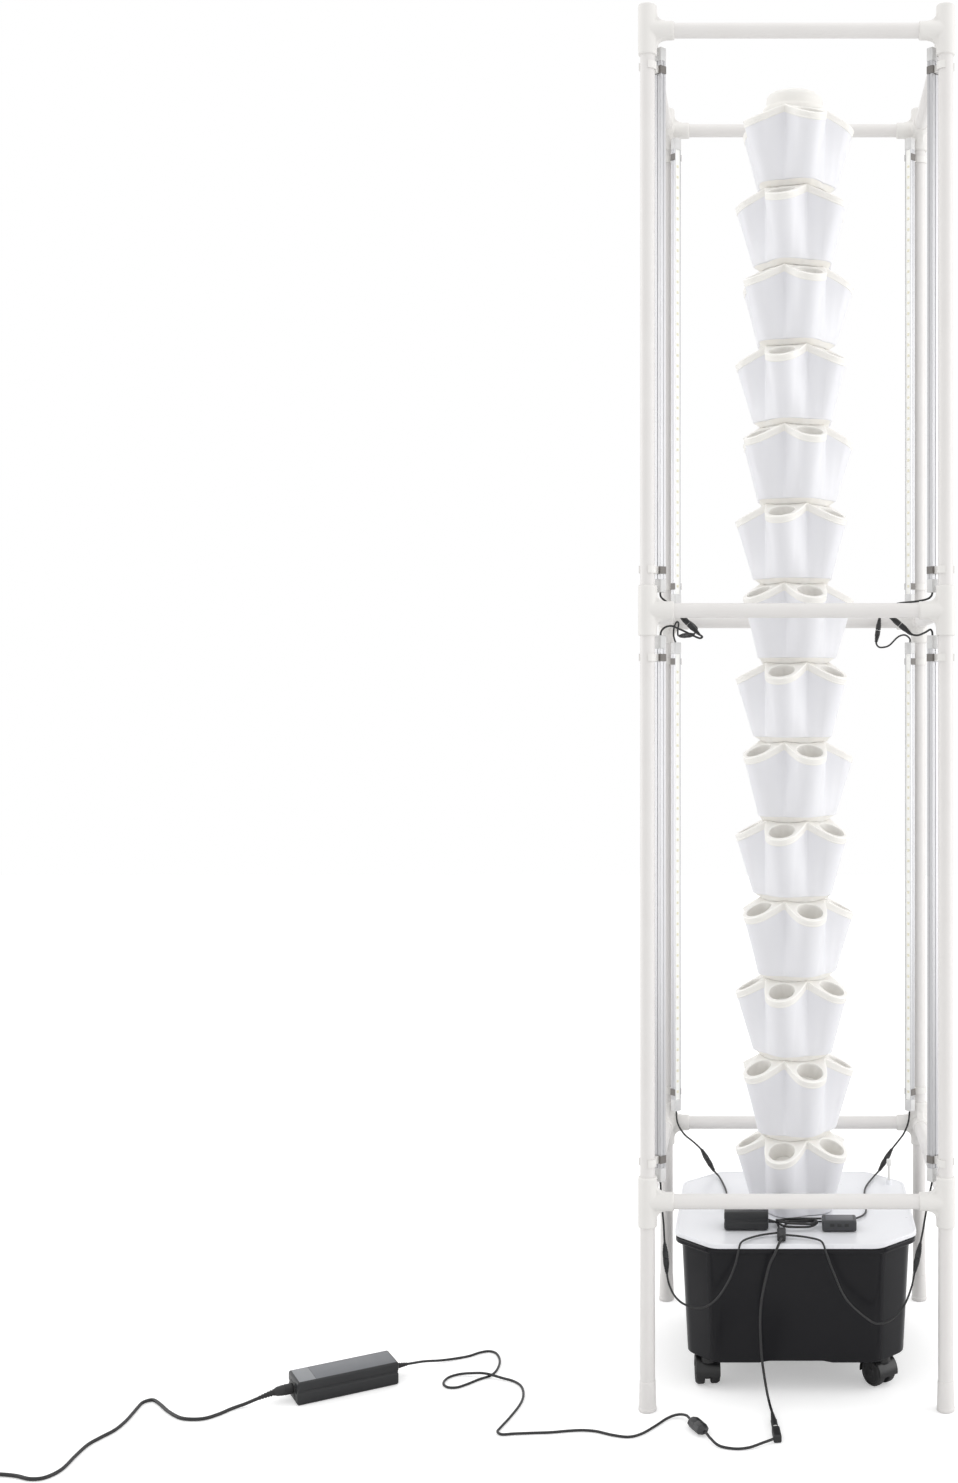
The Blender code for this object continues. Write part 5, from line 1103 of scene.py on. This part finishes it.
def clip_mesh(height):
    """A clip: a ring open at one side round the leg, a short arm, and a band round the bar."""
    to_leg = math.sqrt(2.0) * BAR_INSET
    low, high = height - CLIP_HEIGHT / 2.0, height + CLIP_HEIGHT / 2.0
    inner, outer = PIPE_RADIUS + CLIP_PLAY, PIPE_RADIUS + CLIP_REACH
    sweep = FULL_TURN - 2.0 * CLIP_MOUTH_HALF
    arcs = []
    for radius in (outer, inner):
        angles = [math.pi + CLIP_MOUTH_HALF + sweep * k / CLIP_STEPS for k in range(CLIP_STEPS + 1)]
        arcs.append([(-to_leg + radius * math.cos(angle), radius * math.sin(angle)) for angle in angles])
    ring = extruded("ring", arcs[0] + arcs[1][::-1], low, high)
    start, end = -to_leg + outer - CLIP_ARM_SINK, -BAR_DEPTH / 2.0
    arm = block("arm", (end - start, CLIP_ARM_WIDTH, CLIP_HEIGHT), at((start + end) / 2.0, 0.0, height))
    x, y, wall = BAR_DEPTH / 2.0, BAR_WIDTH / 2.0, CLIP_BAND_WALL
    band = [(x, -y), (-x, -y), (-x, y), (x, y), (x, y + wall), (-x - wall, y + wall), (-x - wall, -y - wall),
            (x, -y - wall)]
    return joined("clip", [ring, arm, extruded("band", band, low, high, 1)])


def build_bar(level_name, name, x_side, y_side):
    """One lamp bar: channel, lit strip, clear end caps and the clips that hold it to its leg."""
    bottom, top = BARS[level_name]
    tag = f"{level_name}_{name}"
    offset = FRAME_SPACING / 2.0 - BAR_INSET
    place = at(x_side * offset, y_side * offset) @ spun(math.atan2(-y_side, -x_side))

    def add_part(part, mesh, looks, slot="lamp_aluminium"):
        add(part, mesh, looks, slot, f"lamp_bar_{tag}", place=place)

    channel = extruded("channel", channel_outline(), bottom + BAR_END, top - BAR_END)
    add_part(f"bar_channel_{tag}", channel, [aluminium])
    strip = strip_mesh(bottom + BAR_CAP_LENGTH, top - BAR_CAP_LENGTH)
    add_part(f"bar_strip_{tag}", strip, [board_white, led_yellow])
    size = (BAR_DEPTH + 2.0 * BAR_CAP_WALL, BAR_WIDTH + 2.0 * BAR_CAP_WALL, BAR_CAP_LENGTH)
    for end, low in (("low", bottom), ("high", top - BAR_CAP_LENGTH)):
        cap = block("bar_cap", size, at(z=low + BAR_CAP_LENGTH / 2.0))
        add_part(f"bar_cap_{tag}_{end}", cap, [cap_clear])
    for end, height in (("low", bottom + CLIP_FROM_END), ("high", top - CLIP_FROM_END)):
        add_part(f"bar_clip_{tag}_{end}", clip_mesh(height), [clip_white, clip_grey], "frame_white")


def connector_shape():
    """Distance and radius along half an inline connector, from its flat joint to its ribbed tail."""
    shape = list(CONNECTOR_FRONT)
    here, radius = shape[-1]
    for _ in range(CONNECTOR_RIBS):
        shape += [(here + ahead, radius + outward) for ahead, outward in CONNECTOR_RIB]
        here += CONNECTOR_RIB_STEP
        radius -= CONNECTOR_RIB_TAPER
        shape.append((here, radius - CONNECTOR_RIB_DIP))
    return shape + CONNECTOR_TAIL


def lead(name, route, node, joint_at_end=True):
    """A thin lead with half an inline connector at its far end."""
    points = smooth_route(route)
    from_joint = points[::-1] if joint_at_end else points
    half = add_sleeve(f"{name}_connector", from_joint, connector_shape(), CONNECTOR_SIDES, node, cord_black)
    cord = add_cord(name, points, LEAD_RADIUS, node)


def build_lamps():
    for name, (x_side, y_side) in CORNERS.items():
        for level_name in BARS:
            build_bar(level_name, name, x_side, y_side)
        lead(f"lead_upper_tail_{name}", UPPER_BAR_TAILS[name], f"lamp_bar_upper_{name}")
        lead(f"lead_lower_head_{name}", LOWER_BAR_HEADS[name], f"lamp_bar_lower_{name}")
        lead(f"lead_lower_tail_{name}", LOWER_BAR_TAILS[name], f"lamp_bar_lower_{name}")


def octagon_ring(half, corner, height):
    """Points of a square with cut and rounded corners, and with points where the tank's notches begin."""
    inner = half - corner
    far = min(NOTCH_OUTER, inner * NOTCH_OUTER_LIMIT)
    near = min(NOTCH_INNER, inner * NOTCH_INNER_LIMIT)
    sides = []
    for k in range(4):
        quarter = Matrix.Rotation(QUARTER * k, 2)
        sides += [quarter @ Vector((half, along)) for along in (-inner, -far, -near, near, far, inner)]
    return [Vector((p.x, p.y, height)) for p in rounded(sides, CORNER_ROUND, CORNER_STEPS, True)]


def squared(name, profile, corner, reference):
    """A profile of (half width, height) drawn round a square with cut corners."""
    rows = []
    for half, height in profile:
        cut = max(0.0, corner + (half - reference) * (2.0 - math.sqrt(2.0)))
        rows.append(octagon_ring(half, min(cut, half * CUT_LIMIT), height))
    return capped(name, rows)


def build_tank():
    """The tank, one wall thick, with its flange and a shallow raised notch in each bottom edge."""
    mesh = squared("tank", rounded(TANK_PROFILE, TANK_ROUND), TANK_CORNER, TANK_TOP_HALF)
    for vertex in mesh.vertices:
        near, far = sorted((abs(vertex.co.x), abs(vertex.co.y)))
        if far > NOTCH_FROM and vertex.co.z < NOTCH_BELOW:
            share = (NOTCH_OUTER - near) / (NOTCH_OUTER - NOTCH_INNER)
            vertex.co.z += NOTCH_HEIGHT * min(1.0, max(0.0, share))
    add("tank_shell", mesh, [tank_black], "tank_black", "water_tank")


def build_lid():
    """The lid: a plate with a rounded edge and a fine raised border, its spigot and the float's sleeve."""
    spigot = rounded(SPIGOT_PROFILE, SPIGOT_ROUND, FEW_POINTS, True)
    sleeve = rounded(SLEEVE_PROFILE, SLEEVE_ROUND, FEW_POINTS, True)
    sleeve_place = at(*FLOAT_PLACE, LID_PLATE_TOP)
    for name, mesh in (
        ("lid_plate", squared("lid", rounded(LID_PROFILE, LID_ROUND, MORE_POINTS), LID_CORNER, LID_HALF)),
        ("lid_spigot", turned("spigot", spigot, CAP_SIDES)),
        ("float_sleeve", turned("sleeve", sleeve + sleeve[:1], SLEEVE_SIDES, sleeve_place)),
    ):
        add(name, mesh, [lid_white], "lid_white", "tank_lid")


def build_float():
    """The float: a rod through the lid's sleeve, and the buoy that an arm holds beside it."""
    x, y = FLOAT_PLACE
    buoy_x, buoy_y = FLOAT_BUOY_PLACE
    rod = turned("float_rod", rounded(FLOAT_ROD_PROFILE, FLOAT_ROUND), SMALL_SIDES, at(x, y))
    buoy = drum("buoy", *BUOY, BUOY_SIDES, at(buoy_x, buoy_y), BUOY_ROUND, MORE_POINTS)
    across = Vector((x - buoy_x, y - buoy_y, 0.0))
    middle = at((x + buoy_x) / 2.0, (y + buoy_y) / 2.0, FLOAT_ARM_HEIGHT)
    arm = block("arm", (across.length + FLOAT_ARM_OVERLAP, FLOAT_ARM_SIZE, FLOAT_ARM_SIZE),
                middle @ spun(math.atan2(across.y, across.x)))
    add("level_rod", joined("level_rod", [rod, buoy, arm]), [float_white], "float_white", "level_float",
        body="float")


def hood_mesh():
    """The caster's hood: a curved cover over both wheels, its web, collar and stem."""
    wide = HOOD_HALF_WIDTH
    section = [(HOOD_OUTER, -wide), (HOOD_OUTER, wide), (HOOD_INNER, wide), (HOOD_INNER, -wide)]
    section = rounded(section, HOOD_ROUND, closed=True)
    rows = []
    for k in range(HOOD_STEPS + 1):
        angle = -HOOD_BELOW_AXLE + (math.pi + 2.0 * HOOD_BELOW_AXLE) * k / HOOD_STEPS
        rows.append([(across, reach * math.cos(angle), reach * math.sin(angle)) for reach, across in section])
    return joined("hood", [
        capped("cover", rows, place=AXLE),
        block("web", WEB_SIZE, AXLE @ at(z=WEB_RISE)),
        turned("collar", rounded(COLLAR_PROFILE, COLLAR_ROUND), COLLAR_SIDES),
        drum("stem", *STEM, SMALL_SIDES),
    ])


def wheel_mesh():
    """Two wheels on one axle, each a rounded tyre with a dished disc and a raised hub."""
    profile = rounded(WHEEL_PROFILE, WHEEL_ROUND)
    parts = [turned("wheel", profile, WHEEL_SIDES, AXLE @ spun(side * QUARTER, "Y")) for side in (-1.0, 1.0)]
    parts.append(drum("axle", AXLE_RADIUS, -AXLE_HALF, AXLE_HALF, AXLE_SIDES, AXLE @ spun(QUARTER, "Y")))
    return joined("wheels", parts)


def build_casters():
    hood, wheels = hood_mesh(), wheel_mesh()
    for name, (x_side, y_side) in CORNERS.items():
        spin = spun(FULL_TURN * CASTER_TURNS_SHARES[name])
        place = at(x_side * CASTER_OFFSET, y_side * CASTER_OFFSET) @ spin
        add(f"caster_hood_{name}", hood, [caster_black], "caster_black", f"caster_housing_{name}",
            place=place, body=f"caster_{name}")
        add(f"caster_pair_{name}", wheels, [tyre_black], "wheel_black", f"caster_wheels_{name}",
            place=place, body=f"wheels_{name}")


def build_hidden():
    """Pump and riser keep their CAD shapes inside the tower, and get procedural finishes."""
    for node, look in (("pump", pump_black), ("riser_pipe", pipe_white)):
        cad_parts[node].data.materials.clear()
        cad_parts[node].data.materials.append(look)


def standing(size, centre, bottom, turn=0.0):
    """The place of a box that stands at this height."""
    return at(*centre, bottom + size[2] / 2.0) @ spun(turn)


def build_floor_adapter():
    """The floor adapter: two half shells with a parting groove, bare panels on top and its inlet."""
    length, width, height = FLOOR_ADAPTER_SIZE
    place = standing(FLOOR_ADAPTER_SIZE, FLOOR_ADAPTER_CENTRE, 0.0, FLOOR_ADAPTER_TURN)
    low = height * ADAPTER_SPLIT_SHARE
    high = height - low - ADAPTER_GROOVE
    shells = [
        block("adapter_half", (length, width, low), at(z=(low - height) / 2.0)),
        block("adapter_half", (length, width, high), at(z=(height - high) / 2.0)),
        block("adapter_core", ADAPTER_CORE_SIZE),
    ]
    top = height / 2.0 - PANEL_SINK
    panel = block("adapter_panel", ADAPTER_PANEL_SIZE, at(ADAPTER_PANEL_X, 0.0, top))
    end = block("adapter_panel", ADAPTER_END_SIZE, at(ADAPTER_END_X, 0.0, top))
    inlet = block("inlet", INLET_SIZE, at(INLET_REACH - length / 2.0))
    for name, mesh, look in (
        ("shell", joined("shell", shells), adapter_black), ("panel", panel, adapter_grey),
        ("end", end, adapter_pale), ("inlet", inlet, plug_black),
    ):
        add(f"adapter_{name}", mesh, [look], "adapter_black", "floor_adapter", place=place)


def build_lid_boxes():
    """The pump's adapter with its bundled lead, and the timer."""
    bottom = LID_TOP + GAP
    length, width, height = PUMP_ADAPTER_SIZE
    half = (length, width, height / 2.0 - GAP)
    shells = [block("pump_half", half, at(z=side * height / 4.0)) for side in (-1.0, 1.0)]
    shells.append(block("pump_core", PUMP_ADAPTER_CORE_SIZE))
    add("pump_adapter_shell", joined("shell", shells), [adapter_black], "adapter_black", "pump_adapter",
        place=standing(PUMP_ADAPTER_SIZE, PUMP_ADAPTER_CENTRE, bottom))

    loops = flat_spiral(BUNDLE_CENTRE, BUNDLE_END_RADIUS, BUNDLE_RUN, QUARTER, LID_LEAD_RADIUS,
                        BUNDLE_TURNS, BUNDLE_TURNS, LID_TOP + BUNDLE_LIFT)
    for k, point in enumerate(loops):
        point.z += BUNDLE_WAVE * (1.0 - math.cos(k * BUNDLE_WAVE_STEP))
        point.y += BUNDLE_SWAY * math.sin(k * BUNDLE_SWAY_STEP)
    start, end = loops[0].copy(), loops[-1].copy()
    start.x = PUMP_ADAPTER_CENTRE[0] + length / 2.0 - LID_LEAD_RADIUS
    end.x = TIMER_CENTRE[0] - TIMER_SIZE[0] / 2.0 - GAP
    cord = add_cord("lid_lead", [start] + loops + [end], LID_LEAD_RADIUS, "pump_adapter")

    place = standing(TIMER_SIZE, TIMER_CENTRE, bottom)
    panel = block("timer_panel", TIMER_PANEL_SIZE, at(z=TIMER_SIZE[2] / 2.0 - PANEL_SINK))
    front = BUTTON_SINK - TIMER_SIZE[1] / 2.0
    buttons = [block("button", BUTTON_SIZE, at(x, front, BUTTON_RISE)) for x in BUTTON_XS]
    for name, mesh, look in (
        ("case", block("timer", TIMER_SIZE), timer_grey), ("panel", panel, timer_pale),
        ("buttons", joined("buttons", buttons), plug_black),
    ):
        add(f"timer_{name}", mesh, [look], "timer_grey", "pump_timer", place=place)


def build_mains():
    """The mains cord from the floor adapter, the coil of its unseen length, and the plug."""
    points = smooth_route(MAINS_ROUTE)
    outermost = COIL_RADIUS + COIL_PITCH_IN_CORDS * MAINS_RADIUS * COIL_TURNS_IN / 2.0
    centre = (COIL_CENTRE_X, MAINS_ROUTE[-1][1] + outermost)
    loops = flat_spiral(centre, COIL_RADIUS, 0.0, -QUARTER, MAINS_RADIUS, COIL_TURNS_IN, COIL_TURNS_OUT, 0.0)
    last = loops[-1]
    bend = Vector((last.x, last.y + MAINS_RADIUS * PLUG_BEND_IN_CORDS, MAINS_PLUG_SIZE[2] / 2.0))
    end = bend + Vector((0.0, MAINS_RADIUS * PLUG_LEAD_IN_CORDS, 0.0))
    relief = ribbed(*MAINS_RELIEF, MAINS_RADIUS + RELIEF_WALL, RELIEF_RIBS)
    pieces = [
        add_sleeve("mains_connector", points, MAINS_CONNECTOR_SHAPE, SMALL_SIDES, "mains_cord", plug_black,
                   MAINS_CONNECTOR_FLATNESS, SHARP_DEGREES),
        add_sleeve("mains_relief", points, relief, RELIEF_SIDES, "mains_cord", cord_black),
    ]
    length = MAINS_PLUG_SIZE[1]
    middle = at(end.x, end.y + GAP + length / 2.0, MAINS_PLUG_SIZE[2] / 2.0)
    plug = joined("plug", [
        block("plug", MAINS_PLUG_SIZE, middle),
        block("plug_collar", PLUG_COLLAR_SIZE, middle @ at(y=PLUG_COLLAR_SINK - length / 2.0)),
    ])
    pins = []
    for side in (-PIN_SPACING / 2.0, PIN_SPACING / 2.0):
        place = middle @ at(side, (length + PIN_SIZE[1]) / 2.0 - GAP)
        pins.append(block("pin", PIN_SIZE, place @ spun(QUARTER, "Y")))
    pieces.append(add("plug_body", plug, [plug_black], "plug_black", "mains_plug"))
    pieces.append(add("plug_pins", joined("pins", pins), [pin_brass], "plug_black", "mains_plug"))
    cord = add_cord("mains_lead", points + loops + [bend, end], MAINS_RADIUS, "mains_cord", "mains_coil")


def build_dc_cord():
    """The adapter's output cord with its ferrite, ending in a right-angle plug."""
    node = "adapter_dc_cord"
    points = smooth_route(DC_ROUTE)
    relief = ribbed(*DC_RELIEF, DC_RADIUS + RELIEF_WALL, RELIEF_RIBS)
    from_ferrite = points[DC_ROUTE.index(FERRITE_START) * ROUTE_STEPS:]
    mirrored = [(FERRITE_LENGTH - distance, radius) for distance, radius in reversed(FERRITE_HALF_SHAPE)]
    ferrite = FERRITE_HALF_SHAPE + [(FERRITE_LENGTH / 2.0, FERRITE_GROOVE_RADIUS)] + mirrored
    place = standing(DC_PLUG_SIZE, DC_PLUG_CENTRE, GAP, DC_PLUG_TURN)
    pieces = [
        add_sleeve("dc_relief", points, relief, RELIEF_SIDES, node, cord_black),
        add_sleeve("ferrite_sleeve", from_ferrite, ferrite, FERRITE_SIDES, node, ferrite_black,
                   FERRITE_FLATNESS),
        add("dc_plug_body", block("dc_plug", DC_PLUG_SIZE), [plug_black], "cord_black", node, place=place),
    ]
    cord = add_cord("dc_lead", points, DC_RADIUS, node)


def build_harness():
    """The splitter: its hub on the lid, the trunk down to its jack and a branch to each lower bar."""
    node = "splitter_harness"
    add("splitter_hub", block("hub", HUB_SIZE), [plug_black], "cord_black", node,
        place=standing(HUB_SIZE, HUB_CENTRE, LID_TOP + GAP))
    points = smooth_route(TRUNK_ROUTE)
    total = runs_along(points)[-1]
    start, end = total - 2.0 * JACK_LENGTH, total - JACK_LENGTH
    jack_shape = ribbed(start, end, TRUNK_RADIUS + GAP, JACK_RELIEF_RADIUS, JACK_RIBS)
    jack_shape += [(total - distance, radius) for distance, radius in JACK_SHAPE]
    ring_shape = [(total - distance, radius) for distance, radius in JACK_RING_SHAPE]
    jack_piece = add_sleeve("trunk_jack", points, jack_shape, SMALL_SIDES, node, plug_black)
    ring_piece = add_sleeve("trunk_ring", points, ring_shape, SMALL_SIDES, node, ring_grey)
    trunk = add_cord("trunk_lead", points, TRUNK_RADIUS, node)
    for name, route in BRANCHES.items():
        lead(f"branch_{name}", route, node, joint_at_end=False)


def floor_look():
    """A matt white floor that reads as white where nothing shades it."""
    look, nodes, links, shader = new_look("floor_white")
    fill(shader, {"Base Color": FLOOR_GREY, "Roughness": FLOOR_ROUGHNESS})
    fill(shader, {"Specular IOR Level": 0.0, "Emission Color": WHITE})
    seen = nodes.new("ShaderNodeLightPath")
    lift = nodes.new("ShaderNodeMath")
    lift.operation = "MULTIPLY"
    fill(lift, {1: FLOOR_LIFT})
    links.new(seen.outputs["Is Camera Ray"], lift.inputs[0])
    links.new(lift.outputs["Value"], shader.inputs["Emission Strength"])
    return look


def build_stage():
    """Pale floor, white surroundings, soft studio lamps and the camera at the photograph's place."""
    floor = bpy.data.meshes.new("floor")
    bm = bmesh.new()
    bmesh.ops.create_grid(bm, x_segments=1, y_segments=1, size=FLOOR_HALF)
    bm.to_mesh(floor)
    bm.free()
    floor.materials.append(floor_look())
    floor_piece = linked("floor", floor)
    floor_piece.location.z = -FLOOR_DROP

    world = bpy.data.worlds.new("studio")
    bpy.context.scene.world = world
    world.use_nodes = True
    fill(world.node_tree.nodes["Background"], {"Color": WHITE, "Strength": 1.0})

    for name, (place, target, size, power) in LAMPS.items():
        data = bpy.data.lights.new(name, "AREA")
        data.shape = "RECTANGLE"
        data.size, data.size_y = size
        data.energy = power
        lamp = linked(name, data)
        lamp.location = place
        lamp.rotation_euler = (Vector(target) - Vector(place)).to_track_quat("-Z", "Y").to_euler()

    camera = bpy.data.cameras.new("camera")
    camera.sensor_width = SENSOR
    camera.lens = FOCAL_PIXELS * SENSOR / PHOTO_HEIGHT
    camera.shift_x = (PHOTO_WIDTH / 2.0 - AXIS_PIXEL[0]) / PHOTO_HEIGHT
    camera.shift_y = (AXIS_PIXEL[1] - PHOTO_HEIGHT / 2.0) / PHOTO_HEIGHT
    camera.clip_start = CLIP_START
    viewer = linked("camera", camera)
    viewer.location = CAMERA_PLACE
    viewer.rotation_euler = (QUARTER, 0.0, 0.0)
    bpy.context.scene.camera = viewer
    bpy.context.scene.view_settings.view_transform = "Standard"


# Finishes, each with its two near colours as the screen shows them
pipe_white = surface("pipe_white", (226, 224, 222), (220, 217, 215), 0.34)
fitting_white = surface("fitting_white", (229, 227, 224), (222, 220, 217), 0.42)
planter_white = surface("planter_white", (233, 233, 237), (229, 229, 234), 0.38, translucence=0.5)
# Warm cream of the rims and cap. The same brighter finish on the cups' insides, the neck and the modules'
# undersides is painted light that lifts their shade.
lip_cream_and_painted_light = surface("lip_cream_and_painted_light", (240, 238, 233), (237, 234, 229), 0.42, translucence=0.5)
lid_white = surface("lid_white", (238, 239, 242), (233, 234, 238), 0.30)
tank_black = surface("tank_black", (27, 27, 30), (22, 22, 25), 0.24, mottle=7.0, gloss_level=0.2)
caster_black = surface("caster_black", (30, 30, 31), (24, 24, 25), 0.34)
tyre_black = surface("tyre_black", (34, 34, 35), (26, 26, 27), 0.52, grain=1500.0)
float_white = surface("float_white", (232, 232, 230), (224, 224, 221), 0.35)
pump_black = surface("pump_black", (34, 34, 36), (27, 27, 29), 0.40)
adapter_black = surface("adapter_black", (34, 35, 37), (27, 28, 30), 0.36, grain=2200.0, depth=0.00008)
adapter_grey = surface("adapter_grey", (112, 114, 118), (100, 102, 106), 0.42, grain=1800.0)
adapter_pale = surface("adapter_pale", (138, 140, 143), (127, 129, 132), 0.42, grain=1800.0)
timer_grey = surface("timer_grey", (62, 63, 66), (52, 53, 56), 0.45)
timer_pale = surface("timer_pale", (96, 97, 101), (84, 85, 89), 0.40)
cord_black = surface("cord_black", (38, 38, 39), (30, 30, 31), 0.42, mottle=40.0)
plug_black = surface("plug_black", (40, 40, 41), (31, 31, 32), 0.50, grain=2000.0, depth=0.00006)
ferrite_black = surface("ferrite_black", (52, 52, 54), (40, 40, 42), 0.38)
ring_grey = surface("ring_grey", (214, 214, 212), (204, 204, 202), 0.35)
pin_brass = surface("pin_brass", (186, 176, 150), (170, 160, 136), 0.28, metallic=1.0,
                    stretch=(1.0, 14.0, 1.0))
aluminium = surface("aluminium", (198, 198, 200), (187, 187, 189), 0.32, metallic=0.7,
                    mottle=60.0, stretch=(1.0, 1.0, 0.04))
board_white = surface("board_white", (246, 246, 243), (242, 242, 238), 0.40)
led_yellow = surface("led_yellow", (234, 230, 208), (228, 223, 198), 0.30)
cap_clear = surface("cap_clear", (214, 214, 213), (204, 204, 204), 0.26)
clip_white = surface("clip_white", (232, 230, 227), (224, 222, 219), 0.36)
clip_grey = surface("clip_grey", (122, 118, 114), (104, 100, 97), 0.38)

build_stage()
build_mains()
build_dc_cord()
build_harness()
build_lamps()
build_lid_boxes()
build_floor_adapter()
build_planters()
build_cap()
build_frame()
build_tank()
build_lid()
build_float()
build_casters()
build_hidden()
